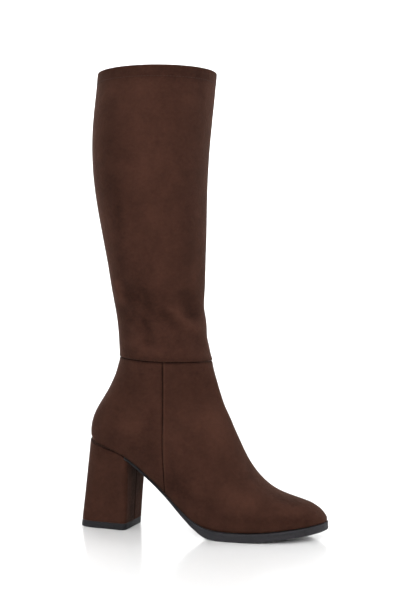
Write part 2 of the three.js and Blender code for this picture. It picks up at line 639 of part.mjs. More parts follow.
// Edge of the upper's foot print, pushed outwards in plan by a distance for each point
function pushedEdge(points, push) {
  return points.map((point, i) => {
    const next = points[Math.min(i + 1, points.length - 1)];
    const before = points[Math.max(i - 1, 0)];
    const along = new THREE.Vector2(next.x - before.x, next.y - before.y).normalize();
    const distance = push(point.x);
    return new THREE.Vector2(point.x + along.y * distance, point.y - along.x * distance);
  });
}

// Both edges of a foot print, toe first, joined at the toe: outer edge back to front, then
// inner edge front to back, so that outwards is always to the right
function printEdges(rowPoints, from, to, push) {
  const outer = [];
  const inner = [];
  for (let i = from; i <= to; i++) {
    outer.push(rowPoints(i)[0]);
    inner.push(rowPoints(i)[1]);
  }
  const chain = [...outer.reverse(), ...inner.slice(from === 0 ? 1 : 0)];
  const pushed = pushedEdge(chain, push);
  const count = to - from + 1;
  const outerPushed = pushed.slice(0, count).reverse();
  const innerPushed = pushed.slice(count - (from === 0 ? 1 : 0));
  return outerPushed.map((point, i) => [point, innerPushed[i]]);
}

const gridEdges = (grid) => (i) => [grid[i][0], grid[i][grid[i].length - 1]];

// A slab that lies on the bottom line: for each pair of edge points, its top and its underside
function solePlate(edges, top, underside, bevel) {
  return loft(edges.map(([outer, inner]) => {
    const at = (p, z) => new THREE.Vector3(p.x, p.y, z);
    const drawn = (p, other) => {
      const towards = new THREE.Vector2(other.x - p.x, other.y - p.y);
      return p.clone().addScaledVector(towards.normalize(), Math.min(bevel, p.distanceTo(other) / 3));
    };
    return [at(outer, top(outer.x)), at(inner, top(inner.x)),
      at(inner, underside(inner.x) + bevel), at(drawn(inner, outer), underside(inner.x)),
      at(drawn(outer, inner), underside(outer.x)), at(outer, underside(outer.x) + bevel)];
  }));
}

const soleTop = (x) => bottomHeight(x) - GAP;
const soleThickness = (x) => soleTable.thickness(x / LAST_LENGTH) * SOLE_THICKNESS * Math.hypot(1, bottomSlope(x));
const soleUnderside = (x) => Math.max(0, bottomHeight(x) - soleThickness(x));
const heelFront = (z) => HEEL_FRONT + (HEEL_BREAST_LEAN * z) / HEEL_HEIGHT;

// Height of the top of the breast, under the outsole
function breastHeight() {
  let z = 0;
  while (soleUnderside(heelFront(z)) > z) z += 0.5;
  return z;
}

const SOLE_END = heelFront(breastHeight()) - SOLE_LAP;

function outsole() {
  let end = 0;
  while (footRow(end + 1).bottom[0] > SOLE_END + 2) end++;
  const welt = (x) => {
    const share = soleTable.weltShare(x / LAST_LENGTH);
    return share * (share > 0 ? SOLE_WELT : SOLE_WAIST_INSET);
  };
  const edges = printEdges(gridEdges(footGrid), 0, end, welt);
  const last = footSection(sectionAtLength(SOLE_END));
  const [outer, inner] = last.edge.map((y) => new THREE.Vector2(SOLE_END, y - Math.sign(y) * SOLE_WAIST_INSET));
  edges.push([outer, inner]);
  return solePlate(edges, soleTop, soleUnderside, 0.8);
}

// The section whose bottom point has a given length x, among those on the sole
function sectionAtLength(x) {
  let [low, high] = [0, SEAT_CORNER];
  for (let n = 0; n < 40; n++) {
    const middle = (low + high) / 2;
    if (footSection(middle).bottom[0] > x) low = middle;
    else high = middle;
  }
  return low;
}

function insole() {
  const clearance = 4 * GAP;
  const edges = printEdges(gridEdges(upperWall.inner), 3, SEAT_ROW - 1, () => -clearance);
  return solePlate(edges, (x) => bottomHeight(x) + INSOLE_THICKNESS, (x) => bottomHeight(x) + 0.05, 0.6);
}

// Plan of the block heel at a height: a straight breast, near-straight sides and a round back
function heelRing(z) {
  const share = z / HEEL_HEIGHT;
  const seat = footSection(SEAT_CORNER);
  const seatHalf = footSection(sectionAtLength(heelFront(HEEL_HEIGHT))).edge[1] + HEEL_SEAT_MARGIN;
  const half = HEEL_WIDTH / 2 + (seatHalf - HEEL_WIDTH / 2) * (0.25 * share + 0.75 * share ** 3);
  const back = HEEL_BACK + (seat.bottom[0] - HEEL_SEAT_MARGIN - HEEL_BACK) * share;
  const front = heelFront(z);
  const roundness = 3 - 0.85 * share;
  const turn = front - (front - back) * 0.42;
  const taper = 1.6 * (1 - share);
  const arc = 10;
  const points = [];
  for (let i = 0; i <= 2 * arc; i++) {
    const angle = ((i - arc) / arc) * (Math.PI / 2);
    const x = turn - (turn - back) * Math.max(0, Math.cos(angle)) ** (2 / roundness);
    const y = (half - taper) * Math.sign(angle) * Math.abs(Math.sin(angle)) ** (2 / roundness);
    points.push(new THREE.Vector3(x, y, z));
  }
  points.push(new THREE.Vector3(front - HEEL_CORNER, half, z), new THREE.Vector3(front, half - HEEL_CORNER, z),
    new THREE.Vector3(front, HEEL_CORNER - half, z), new THREE.Vector3(front - HEEL_CORNER, -half, z));
  return points;
}

function heelBlock() {
  const levels = [LIFT_THICKNESS + GAP, 0.2, 0.38, 0.56, 0.7, 0.82, 0.92, 1.06]
    .map((level, i) => (i === 0 ? level : level * HEEL_HEIGHT));
  const column = loft(levels.map(heelRing));
  const far = HEEL_FRONT + BALL_WIDTH;
  const lengths = Array.from({ length: SEAT_ROW + 1 }, (_, i) => footRow(SEAT_ROW - i).bottom[0]);
  const end = SOLE_END - GAP;
  const seatLine = [-BALL_WIDTH, ...lengths.filter((x) => x < end), end]
    .map((x) => [x, soleTop(Math.max(x, lengths[0]))]);
  const lapLine = [end, ...lengths.filter((x) => x > end && x < HEEL_FRONT + 3 * HEEL_BREAST_LEAN)]
    .map((x) => [x, soleUnderside(x) - GAP]);
  const above = sidePrism([...seatLine, ...lapLine, [far, HEEL_HEIGHT / 2], [far, 2 * HEEL_HEIGHT],
    [-BALL_WIDTH, 2 * HEEL_HEIGHT]], -BALL_WIDTH, BALL_WIDTH);
  return cut(column, above, breastSeam());
}

// Groove where the heel cover meets, up the middle of the breast
function breastSeam() {
  return loft([0, HEEL_HEIGHT].map((z) => {
    const x = heelFront(z);
    return [[x - SEAM_DEPTH, 0], [x + 1, -SEAM_WIDTH], [x + 1, SEAM_WIDTH]]
      .map(([px, py]) => new THREE.Vector3(px, py, z));
  }));
}

function topLift() {
  return loft([heelRing(0), heelRing(LIFT_THICKNESS)].map((row, i) =>
    row.map((p) => new THREE.Vector3(p.x, p.y, i * LIFT_THICKNESS))));
}

// Groove of the closed seam down the outer side of the foot part
const SIDE_SEAM = 0.373; // share of LAST_LENGTH

function sideSeam() {
  const x = SIDE_SEAM * LAST_LENGTH;
  const heights = stepsAlong(bottomHeight(x) - 1, SEAM_HEIGHT + 1, 16);
  return loft(heights.map((z) => {
    const level = Math.min(Math.max(z, bottomHeight(x) + 0.6), SEAM_HEIGHT - 0.6);
    return [[0, -SEAM_DEPTH], [SEAM_WIDTH / 2, 0.5], [-SEAM_WIDTH / 2, 0.5]].map(([offset, height]) => {
      const point = surfacePoint(x + offset, level, 0, height);
      point.z += z - level;
      return point;
    });
  }));
}

const suede = { color: 0x46291f, roughness: 0.95, metalness: 0 };
const rubber = { color: 0x2b2c2e, roughness: 0.6, metalness: 0 };
const tapeCloth = { color: 0x17191b, roughness: 0.85, metalness: 0 };
const nylon = { color: 0x1c1f21, roughness: 0.55, metalness: 0 };
const metal = { color: 0x9b9b98, roughness: 0.3, metalness: 1 };
const lining = { color: 0x3a2a22, roughness: 0.9, metalness: 0 };

function piece(name, geometry, finish) {
  const mesh = new THREE.Mesh(geometry, new THREE.MeshStandardMaterial(finish));
  mesh.name = name;
  return mesh;
}

function placed(mesh, matrix) {
  matrix.decompose(mesh.position, mesh.quaternion, mesh.scale);
  return mesh;
}

const boot = new THREE.Group();
const slot = zipSlot();
const slider = sliderFrame();
const shaftWall = hollowWall(shaftGrid(), WALL, 0);
boot.add(
  piece('outsole', outsole(), rubber),
  piece('heel_block', heelBlock(), suede),
  piece('heel_top_lift', topLift(), rubber),
  piece('insole', insole(), lining),
  piece('upper', cut(upperWall.geometry, slot, sideSeam()), suede),
  piece('shaft', cut(shaftWall.geometry, slot), suede),
  piece('zip_tape_front', zipTape(1), tapeCloth),
  piece('zip_tape_back', zipTape(-1), tapeCloth),
  piece('zip_coil', zipCoil(), nylon),
  placed(piece('zip_slider', zipSlider(), metal), slider),
  placed(piece('zip_pull_tab', pullTab(), metal), slider),
);

// The origin is under the middle of the boot, on the floor
const box = new THREE.Box3().setFromObject(boot);
boot.position.set(-(box.min.x + box.max.x) / 2, -(box.min.y + box.max.y) / 2, -box.min.z);

export default boot;
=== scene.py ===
"""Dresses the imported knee-high boot: suede foot part and shaft, rubber sole, covered heel, side zip.

Shapes are worked out in millimetres in the boot's own frame: x from the back of the heel to the
toe, y from the outer to the inner side, z up from the floor. MM and SHIFT take them to the part's.
"""

import math

import bmesh
import bpy
import numpy as np
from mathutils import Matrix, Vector


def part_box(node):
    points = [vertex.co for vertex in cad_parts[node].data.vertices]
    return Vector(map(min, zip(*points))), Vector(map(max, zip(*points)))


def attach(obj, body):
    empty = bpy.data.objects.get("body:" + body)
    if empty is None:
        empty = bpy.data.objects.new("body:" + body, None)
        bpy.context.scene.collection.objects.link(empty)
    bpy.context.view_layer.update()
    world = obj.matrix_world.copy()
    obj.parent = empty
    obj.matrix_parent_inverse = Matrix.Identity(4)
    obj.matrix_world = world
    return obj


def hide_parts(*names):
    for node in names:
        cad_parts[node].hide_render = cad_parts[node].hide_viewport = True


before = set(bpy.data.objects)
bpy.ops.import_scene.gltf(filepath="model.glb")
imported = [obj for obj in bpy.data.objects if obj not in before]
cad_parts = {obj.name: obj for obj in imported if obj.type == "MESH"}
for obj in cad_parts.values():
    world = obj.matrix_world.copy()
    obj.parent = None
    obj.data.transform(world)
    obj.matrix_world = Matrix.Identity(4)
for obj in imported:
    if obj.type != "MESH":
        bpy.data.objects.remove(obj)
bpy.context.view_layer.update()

MM = 0.001

# Sizes of the boot, the same as in the part
LAST_LENGTH = 236
BALL_WIDTH = 84
HEEL_HEIGHT = 86.8
ANKLE_RISE = 77.2
SHAFT_RISE = 276.5
COLLAR_DEPTH = 115.6
COLLAR_WIDTH = 111
COLLAR_SETBACK = 8.5
WALL = 1.8
GAP = 0.3
SHAFT_STEP = 0.6
SOLE_THICKNESS = 8.6
SOLE_WELT = 2.2
SOLE_WAIST_INSET = 0.1
SOLE_LAP = 2.4  # behind the heel's breast
SOLE_TOP_ROUND = 0.7
SOLE_LOW_ROUND = 1.1
SOLE_SIDE_HOLLOW = 0.35
HEEL_WIDTH = 44
HEEL_BACK = -8
HEEL_FRONT = 44.5
HEEL_BREAST_LEAN = 5
HEEL_SEAT_MARGIN = 0.4
HEEL_CORNER = 4.5
HEEL_TAPER = 1.6  # how much narrower its back is at the floor
HEEL_SEAM_ZONE = 8  # half the width of the breast's middle part, where its seam is
LIFT_THICKNESS = 6.2
ZIP_SLOT = 8
ZIP_SLOT_TOP = 12.4
ZIP_SLOT_FLARE = 22
ZIP_END = 6
TAPE_SINK = 0.8
COIL_THICKNESS = 2.1
COIL_TOP_MARGIN = 7.1  # where the slider covers it
TOOTH_PITCH = 1.4
HEM = 10.5  # stitch line below the collar
STITCH_INSET = 3  # from the zip's slot
STITCH_PITCH = 3
STITCH_LENGTH = 2.3
THREAD_RADIUS = 0.22
STITCH_DIP = 0.25
HEM_DIP = 0.3
DIP_WIDTH = 0.7
SEAM_RISE = 3.7  # of the ankle seam towards the back
SEAM_RISE_FRONT = 0.5
SEAM_RISE_X = (92, 33)  # where the rise starts and where it is whole
SEAM_RISE_REACH = 30  # height over which it fades out
OVERLAP_FADE = 50  # height over which the shaft's step fades out
FAR = 99  # further from an edge or seam than it reaches
SEAM_HEIGHT = HEEL_HEIGHT + ANKLE_RISE
COLLAR_HEIGHT = SEAM_HEIGHT + SHAFT_RISE

# Sections of the foot part from the toe to the ankle seam, and rings of the shaft. The columns
# are bottom x, bottom z, back z, ridge x, ridge z, outer edge, inner edge, outer side, inner
# side, ridge y, widest place and roundness.
FOOT_SECTIONS = np.array([
    [1.000, 0.188, 0, 1.000, 0.099, 0.095, 0.095, 0.095, 0.095, 0.095, 0.30, 2.2],
    [0.996, 0.187, 0, 0.995, 0.130, 0.015, 0.175, 0.008, 0.182, 0.095, 0.30, 2.2],
    [0.981, 0.180, 0, 0.973, 0.168, -0.068, 0.235, -0.080, 0.247, 0.095, 0.30, 2.2],
    [0.945, 0.164, 0, 0.928, 0.205, -0.172, 0.312, -0.188, 0.328, 0.095, 0.30, 2.1],
    [0.881, 0.138, 0, 0.856, 0.235, -0.277, 0.400, -0.298, 0.421, 0.090, 0.29, 2.0],
    [0.805, 0.112, 0, 0.784, 0.266, -0.353, 0.470, -0.377, 0.494, 0.083, 0.28, 1.95],
    [0.720, 0.097, 0, 0.729, 0.326, -0.402, 0.506, -0.430, 0.534, 0.070, 0.28, 1.9],
    [0.631, 0.094, 0, 0.688, 0.405, -0.417, 0.476, -0.444, 0.508, 0.055, 0.29, 1.9],
    [0.547, 0.113, 0, 0.662, 0.483, -0.398, 0.387, -0.434, 0.462, 0.040, 0.31, 1.9],
    [0.458, 0.247, 0, 0.645, 0.545, -0.372, 0.304, -0.424, 0.432, 0.028, 0.34, 1.9],
    [0.373, 0.474, 0, 0.628, 0.600, -0.352, 0.270, -0.418, 0.415, 0.018, 0.36, 1.9],
    [0.280, 0.678, 0, 0.613, 0.654, -0.343, 0.300, -0.410, 0.407, 0.010, 0.37, 1.95],
    [0.197, 0.843, 0, 0.599, 0.699, -0.336, 0.334, -0.400, 0.400, 0.004, 0.37, 2.0],
    [0.119, 0.917, 0, 0.586, 0.740, -0.318, 0.318, -0.390, 0.390, 0, 0.35, 2.0],
    [0.052, 0.968, 0, 0.577, 0.776, -0.250, 0.250, -0.382, 0.382, 0, 0.32, 2.0],
    [0.018, 0.994, 0, 0.570, 0.808, -0.124, 0.124, -0.381, 0.381, 0, 0.30, 2.0],
    [0.010, 1.000, 0.012, 0.5635, 0.835, 0, 0, -0.382, 0.382, 0, 0.30, 2.0],
    [0.007, 1.000, 0.055, 0.558, 0.860, 0, 0, -0.385, 0.385, 0, 0.30, 2.0],
    [0.008, 1.000, 0.150, 0.553, 0.883, 0, 0, -0.389, 0.389, 0, 0.305, 2.0],
    [0.023, 1.000, 0.315, 0.546, 0.913, 0, 0, -0.395, 0.395, 0, 0.32, 2.0],
    [0.060, 1.000, 0.493, 0.539, 0.943, 0, 0, -0.404, 0.404, 0, 0.35, 2.05],
    [0.110, 1.000, 0.734, 0.532, 0.972, 0, 0, -0.416, 0.416, 0, 0.39, 2.1],
    [0.138, 1.000, 1.000, 0.527, 1.000, 0, 0, -0.430, 0.430, 0, 0.43, 2.1],
])
SEAT_CORNER = 16
ANKLE_SECTION = len(FOOT_SECTIONS) - 1

# rise, centre, depth, width, widest place, roundness
SHAFT_RINGS = np.array([
    [0.000, 0.00, 0.00, 0.00, 0.43, 2.1],
    [0.028, 0.09, -0.15, -0.03, 0.44, 2.1],
    [0.067, 0.26, -0.19, -0.05, 0.45, 2.1],
    [0.132, 0.45, -0.20, 0.01, 0.46, 2.1],
    [0.201, 0.75, -0.11, 0.11, 0.46, 2.1],
    [0.269, 0.95, 0.03, 0.24, 0.46, 2.1],
    [0.336, 1.10, 0.15, 0.36, 0.46, 2.1],
    [0.404, 1.28, 0.32, 0.50, 0.46, 2.1],
    [0.470, 1.46, 0.47, 0.63, 0.46, 2.1],
    [0.538, 1.65, 0.62, 0.76, 0.46, 2.1],
    [0.606, 1.79, 0.74, 0.87, 0.46, 2.1],
    [0.672, 1.84, 0.85, 0.94, 0.46, 2.1],
    [0.741, 1.80, 0.93, 0.98, 0.46, 2.1],
    [0.806, 1.67, 0.99, 1.00, 0.47, 2.1],
    [0.875, 1.45, 1.00, 1.00, 0.48, 2.1],
    [0.939, 1.20, 1.00, 1.00, 0.49, 2.05],
    [1.000, 1.00, 1.00, 1.00, 0.50, 2.0],
])

# x, thickness, welt
SOLE_TABLE = np.array([
    [0.15, 0.28, -1.00], [0.37, 0.28, -1.00], [0.44, 0.44, -0.40], [0.50, 0.70, 0.40],
    [0.56, 1.00, 0.90], [0.75, 1.00, 1.00], [0.84, 0.90, 1.00], [0.96, 0.87, 0.80], [1.02, 0.86, 0.40],
])

# z, x of the upright seam on the outer side
SIDE_SEAM = np.array([
    [50, 89.0], [66, 88.9], [84, 88.0], [100, 87.3], [120, 85.9], [135, 86.2],
    [150, 87.5], [164, 88.5],
])

# height, x
ZIP_LINE = np.array([
    [0.16, 0.452], [0.30, 0.420], [0.42, 0.388], [0.55, 0.362], [0.72, 0.353], [0.86, 0.352],
    [1.00, 0.352], [1.40, 0.336], [2.00, 0.306],
])

# Soft creases of the shaft, each along a line of the side view: side (-1 outer, 1 inner), x and z
# of both ends, width and height (minus for a trough)
CREASES = [
    (-1, 108, 232, 112, 208, 12, -1.6),
    (-1, 94, 238, 98, 214, 10, 0.8),
    (-1, 98, 212, 116, 193, 9, 1.3),
    (-1, 89, 210, 101, 200, 8, -1.0),
    (-1, 50, 236, 68, 226, 16, -1.2),
    (-1, 48, 214, 60, 206, 13, -0.9),
    (-1, 70, 200, 76, 186, 10, -1.3),
    (-1, 48, 194, 60, 190, 10, -0.7),
    (-1, 78, 222, 90, 216, 10, 0.7),
    (-1, 84, 196, 96, 186, 10, 0.6),
    (-1, 38, 236, 42, 224, 9, 0.8),
    (-1, 113, 192, 117, 180, 9, -0.8),
    (-1, 122, 300, 118, 245, 22, -0.9),
    (1, 36, 197, 72, 212, 13, -1.7),
    (1, 42, 210, 76, 224, 11, 0.9),
    (1, 40, 184, 68, 195, 10, 0.9),
    (1, 114, 216, 130, 203, 12, -1.3),
    (1, 98, 234, 124, 220, 14, -0.8),
    (1, 96, 200, 120, 186, 11, -1.0),
    (1, 44, 262, 70, 250, 20, -0.8),
]

# Lighter or darker tone, in the same terms, with the change of tone at the end: painted shade in the
# troughs of the creases, painted highlights on their ridges, and broad lighter or darker patches
NAP_AND_PAINTED_LIGHT = [
    (-1, 82, 416, 80, 300, 26, 0.08),
    (-1, 88, 300, 94, 240, 20, 0.05),
    (-1, 42, 400, 46, 320, 20, -0.14),
    (-1, 50, 310, 46, 250, 14, -0.17),
    (-1, 112, 340, 112, 262, 13, -0.12),
    (-1, 109, 228, 112, 210, 13, -0.34),
    (-1, 97, 214, 115, 194, 9, 0.28),
    (-1, 91, 209, 100, 200, 10, -0.16),
    (-1, 52, 234, 72, 222, 22, -0.22),
    (-1, 50, 214, 58, 204, 18, -0.12),
    (-1, 72, 201, 76, 188, 13, -0.26),
    (-1, 48, 194, 60, 190, 9, -0.14),
    (-1, 68, 178, 84, 174, 9, 0.12),
    (-1, 42, 176, 58, 174, 8, -0.10),
    (-1, 41, 238, 46, 222, 9, 0.34),
    (-1, 114, 192, 118, 180, 8, -0.14),
    (-1, 46, 104, 58, 102, 18, 0.24),
    (-1, 60, 146, 66, 132, 16, -0.10),
    (-1, 34, 146, 66, 82, 44, -0.09),
    (-1, 134, 112, 140, 92, 18, 0.18),
    (-1, 150, 46, 174, 36, 14, 0.17),
    (-1, 116, 116, 196, 38, 52, 0.09),
    (-1, 98, 52, 134, 28, 15, -0.15),
    (-1, 150, 22, 226, 21, 9, -0.18),
    (-1, 200, 40, 212, 36, 9, -0.16),
    (-1, 206, 29, 216, 28, 8, 0.14),
    (-1, 232, 30, 240, 28, 10, -0.22),
    (1, 60, 210, 74, 212, 12, -0.18),
    (1, 84, 330, 78, 260, 24, 0.14),
    (1, 116, 212, 128, 204, 11, -0.18),
    (1, 48, 106, 62, 100, 20, 0.18),
    (1, 140, 70, 168, 40, 18, 0.16),
    (1, 150, 22, 226, 21, 9, -0.16),
]


def curve(rows, column, key=None):
    """Shape-preserving cubic through the rows of a table, by a column or by row number."""
    value = rows[:, column]
    at = np.arange(len(rows)) if key is None else rows[:, key]
    slope = np.diff(value) / np.diff(at)
    tangent = np.concatenate([slope[:1], np.zeros(len(value) - 2), slope[-1:]])
    a, b = slope[:-1], slope[1:]
    same = a * b > 0
    tangent[1:-1][same] = 2 * a[same] * b[same] / (a[same] + b[same])

    def value_at(s):
        s = np.clip(s, at[0], at[-1])
        i = np.clip(np.searchsorted(at, s) - 1, 0, len(at) - 2)
        width = at[i + 1] - at[i]
        t = (s - at[i]) / width
        return (
            value[i] * (2 * t**3 - 3 * t**2 + 1)
            + value[i + 1] * (3 * t**2 - 2 * t**3)
            + width * (tangent[i] * (t**3 - 2 * t**2 + t) + tangent[i + 1] * (t**3 - t**2))
        )

    return value_at


# places round a point, in steps, and their weights
BLEND = ((-1.6, 0.11), (-0.8, 0.24), (0, 0.3), (0.8, 0.24), (1.6, 0.11))


def rounded(value_at, reach, fixed):
    """The same curve with its bends at the table's rows rounded, except at fixed places."""
    def rounded_at(s):
        away = np.min([np.abs(s - place) for place in fixed], axis=0)
        step = np.minimum(reach, away / 2)
        return sum(weight * value_at(s + place * step) for place, weight in BLEND)

    return rounded_at


TOE_ROWS = (0, 1, 2, 3)
BOTTOM_COLUMNS = (0, 1, 2, 5, 6)  # these have a corner where the bottom turns up into the back


def foot_curve(column):
    fixed = TOE_ROWS + (ANKLE_SECTION,)
    if column in BOTTOM_COLUMNS:
        fixed += (SEAT_CORNER,)
    return rounded(curve(FOOT_SECTIONS, column), 0.5, fixed)


foot_curves = [foot_curve(i) for i in range(FOOT_SECTIONS.shape[1])]
ring_curves = [rounded(curve(SHAFT_RINGS, i, 0), 0.03, (0, 1)) for i in range(SHAFT_RINGS.shape[1])]
sole_thickness_share = curve(SOLE_TABLE, 1, 0)
sole_welt_share = curve(SOLE_TABLE, 2, 0)
zip_share = curve(ZIP_LINE, 1, 0)


def foot_section(u):
    """Sections of the foot part at table rows u, as a dict of arrays in millimetres."""
    v = [c(u) for c in foot_curves]
    return {
        "bx": v[0] * LAST_LENGTH,
        "bz": v[1] * HEEL_HEIGHT + v[2] * ANKLE_RISE,
        "rx": v[3] * LAST_LENGTH,
        "rz": v[4] * SEAM_HEIGHT,
        "edge": (v[5] * BALL_WIDTH, v[6] * BALL_WIDTH),
        "side": (v[7] * BALL_WIDTH, v[8] * BALL_WIDTH),
        "ry": v[9] * BALL_WIDTH,
        "widest": v[10],
        "round": v[11],
    }


ankle = foot_section(ANKLE_SECTION)
ANKLE_CENTRE = (ankle["bx"] + ankle["rx"]) / 2
ANKLE_DEPTH = ankle["rx"] - ankle["bx"]
ANKLE_WIDTH = ankle["side"][1] - ankle["side"][0]


def shaft_section(height):
    """Level rings of the shaft at heights, in the same terms."""
    rise = (height - SEAM_HEIGHT) / SHAFT_RISE
    v = [c(rise) for c in ring_curves]
    centre = ANKLE_CENTRE - v[1] * COLLAR_SETBACK
    half_depth = (ANKLE_DEPTH + v[2] * (COLLAR_DEPTH - ANKLE_DEPTH)) / 2
    half_width = (ANKLE_WIDTH + v[3] * (COLLAR_WIDTH - ANKLE_WIDTH)) / 2
    zero = 0 * rise
    return {
        "bx": centre - half_depth,
        "bz": height + zero,
        "rx": centre + half_depth,
        "rz": height + zero,
        "edge": (zero, zero),
        "side": (-half_width, half_width),
        "ry": zero,
        "widest": v[4],
        "round": v[5],
    }


def cut_angle(sec, side):
    reach = np.abs(sec["side"][side] - sec["ry"])
    edge = np.abs(sec["edge"][side] - sec["ry"])
    return np.where(reach < 1e-9, 0.35, np.arccos(np.clip(edge / np.maximum(reach, 1e-9), 0, 1)))


def section_points(sec, per_side):
    """Points of sections (rows) from the outer edge over the ridge to the inner edge."""
    field = {k: np.atleast_1d(v)[:, None] for k, v in sec.items() if k not in ("edge", "side")}
    rows = []
    for side, along in ((0, np.linspace(0, 1, per_side + 1)), (1, np.linspace(1, 0, per_side + 1)[1:])):
        cut = np.atleast_1d(cut_angle(sec, side))[:, None]
        reach = np.atleast_1d(sec["side"][side])[:, None] - field["ry"]
        angle = -cut + along[None, :] * (cut + math.pi / 2)
        power = 2 / field["round"]
        low = angle < 0
        up_sin = np.abs(np.sin(np.where(low, 0, angle)))
        up_cos = np.maximum(0, np.cos(np.where(low, 0, angle)))
        share = np.where(
            low,
            field["widest"] * (1 + np.sin(angle) / np.sin(cut)),
            field["widest"] + (1 - field["widest"]) * up_sin**power,
        )
        y = field["ry"] + reach * np.where(low, np.cos(angle), up_cos**power)
        x = field["bx"] + share * (field["rx"] - field["bx"])
        z = field["bz"] + share * (field["rz"] - field["bz"])
        rows.append(np.stack([x, y, z], 2))
    return np.concatenate(rows, 1)


bottom_line = foot_section(np.linspace(0, SEAT_CORNER, 600))
BOTTOM_X, BOTTOM_Z = bottom_line["bx"][::-1], bottom_line["bz"][::-1]


def bottom_height(x):
    return np.interp(x, BOTTOM_X, BOTTOM_Z)


def bottom_slope(x):
    return bottom_height(x + 0.5) - bottom_height(x - 0.5)


def zip_x(z):
    height = np.where(z < SEAM_HEIGHT, z / SEAM_HEIGHT, 1 + (z - SEAM_HEIGHT) / SHAFT_RISE)
    return zip_share(height) * LAST_LENGTH


def zip_slope(z):
    return zip_x(z + 0.5) - zip_x(z - 0.5)


def zip_offset(x, z):
    """Distance in front of the zip's line (minus behind it), in the side view."""
    return (x - zip_x(z)) / np.hypot(1, zip_slope(z))


def slot_half(z):
    into = np.clip((z - (COLLAR_HEIGHT - ZIP_SLOT_FLARE)) / (ZIP_SLOT_FLARE / 2), 0, 1)
    return (ZIP_SLOT + (ZIP_SLOT_TOP - ZIP_SLOT) * into * into * (3 - 2 * into)) / 2


def zip_start(above):
    """Height of the zip's line where it is a distance above the sole."""
    z = np.arange(SEAM_HEIGHT, 0, -0.1)
    x = zip_x(z)
    over = (z - bottom_height(x)) / np.hypot(1, bottom_slope(x))
    return z[np.argmax(over <= above)]


# The outer surface as y over the side view

def section_through(x, z):
    """Sections that pass through points of the side view."""
    low, high = np.full(np.shape(x), 1.0), np.full(np.shape(x), float(ANKLE_SECTION))
    # halving closes in on the row
    for _ in range(26):
        middle = (low + high) / 2
        s = foot_section(middle)
        beyond = (s["rx"] - s["bx"]) * (z - s["bz"]) - (s["rz"] - s["bz"]) * (x - s["bx"]) > 0
        low, high = np.where(beyond, middle, low), np.where(beyond, high, middle)
    foot, shaft = foot_section(low), shaft_section(z)
    above = z >= SEAM_HEIGHT
    return {
        key: tuple(np.where(above, a, b) for a, b in zip(shaft[key], foot[key]))
        if key in ("edge", "side")
        else np.where(above, shaft[key], foot[key])
        for key in foot
    }


def surface_y(x, z, side):
    s = section_through(x, z)
    share = np.hypot(x - s["bx"], z - s["bz"]) / np.hypot(s["rx"] - s["bx"], s["rz"] - s["bz"])
    sine = (1 - share / s["widest"]) * np.sin(cut_angle(s, side))
    rest = np.clip((share - s["widest"]) / (1 - s["widest"]), 0, 1)
    low = np.sqrt(np.maximum(0, 1 - sine**2))
    high = (1 - rest ** s["round"]) ** (1 / s["round"])
    return s["ry"] + (s["side"][side] - s["ry"]) * np.where(share < s["widest"], low, high)


def surface_normal(x, z, side):
    step = 0.5
    dx = (surface_y(x + step, z, side) - surface_y(x - step, z, side)) / (2 * step)
    dz = (surface_y(x, z + step, side) - surface_y(x, z - step, side)) / (2 * step)
    normal = np.stack([-dx, np.ones_like(dx), -dz], -1) * (1 if side else -1)
    return normal / np.linalg.norm(normal, axis=-1, keepdims=True)


def surface_point(x, z, side, height):
    place = np.stack([x, surface_y(x, z, side), z], -1)
    return place + surface_normal(x, z, side) * np.asarray(height)[..., None]


foot_back = foot_section(np.linspace(SEAT_CORNER, ANKLE_SECTION, 200))
shaft_back = shaft_section(np.linspace(SEAM_HEIGHT + 0.5, COLLAR_HEIGHT, 200))
BACK_Z = np.concatenate([foot_back["bz"], shaft_back["bz"]])
BACK_X = np.concatenate([foot_back["bx"], shaft_back["bx"]])


def raise_seam(grid):
    """Moves points near the ankle seam up to where the seam runs, along the boot's back."""
    x, z = grid[..., 0], grid[..., 2]
    start, end = SEAM_RISE_X
    share = np.clip((start - x) / (start - end), 0, 1)
    near = np.clip(1 - np.abs(z - SEAM_HEIGHT) / SEAM_RISE_REACH, 0, 1)
    rise = (SEAM_RISE_FRONT + SEAM_RISE * share**1.2) * near
    backward = np.interp(z + rise, BACK_Z, BACK_X) - np.interp(z, BACK_Z, BACK_X)
    grid[..., 0] += backward * share
    grid[..., 2] += rise


# Meshes

lift_low, lift_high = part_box("heel_top_lift")


def heel_front(z):
    return HEEL_FRONT + HEEL_BREAST_LEAN * z / HEEL_HEIGHT


# The boot's own frame, from a corner and the middle line of the heel's lift
SHIFT = np.array([
    lift_high[0] / MM - heel_front(LIFT_THICKNESS),
    (lift_low[1] + lift_high[1]) / 2 / MM,
    0,
])


def to_part(points):
    return (np.asarray(points, float) + SHIFT) * MM


def in_scene(name, data):
    obj = bpy.data.objects.new(name, data)
    bpy.context.scene.collection.objects.link(obj)
    return obj


def add_object(name, points, faces, materials, slots=None, tone_and_painted_light=None, merge=True):
    """Mesh object in the part's place, with a material slot for each face and a tone for each point, which
    also holds painted light and shade.
    """
    bm = bmesh.new()
    tone = bm.verts.layers.float.new("tone_and_painted_light")
    corners = [bm.verts.new(point) for point in to_part(points)]
    if tone_and_painted_light is not None:
        for corner, value in zip(corners, tone_and_painted_light):
            corner[tone] = value
    for k, face in enumerate(faces):
        made = bm.faces.new([corners[i] for i in face])
        made.smooth = True
        made.material_index = slots[k] if slots else 0
    if merge:
        bmesh.ops.remove_doubles(bm, verts=bm.verts, dist=1e-5)
    bmesh.ops.recalc_face_normals(bm, faces=bm.faces)
    mesh = bpy.data.meshes.new(name)
    bm.to_mesh(mesh)
    bm.free()
    for material in materials:
        mesh.materials.append(material)
    obj = in_scene(name, mesh)
    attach(obj, "boot")
    return obj


def grid_faces(rows, columns, start=0, closed=False, keep=None):
    faces = []
    for i in range(rows - 1):
        for j in range(columns if closed else columns - 1):
            if keep is None or keep[i, j]:
                k = (j + 1) % columns
                a, b = start + i * columns, start + (i + 1) * columns
                faces.append((a + j, a + k, b + k, b + j))
    return faces


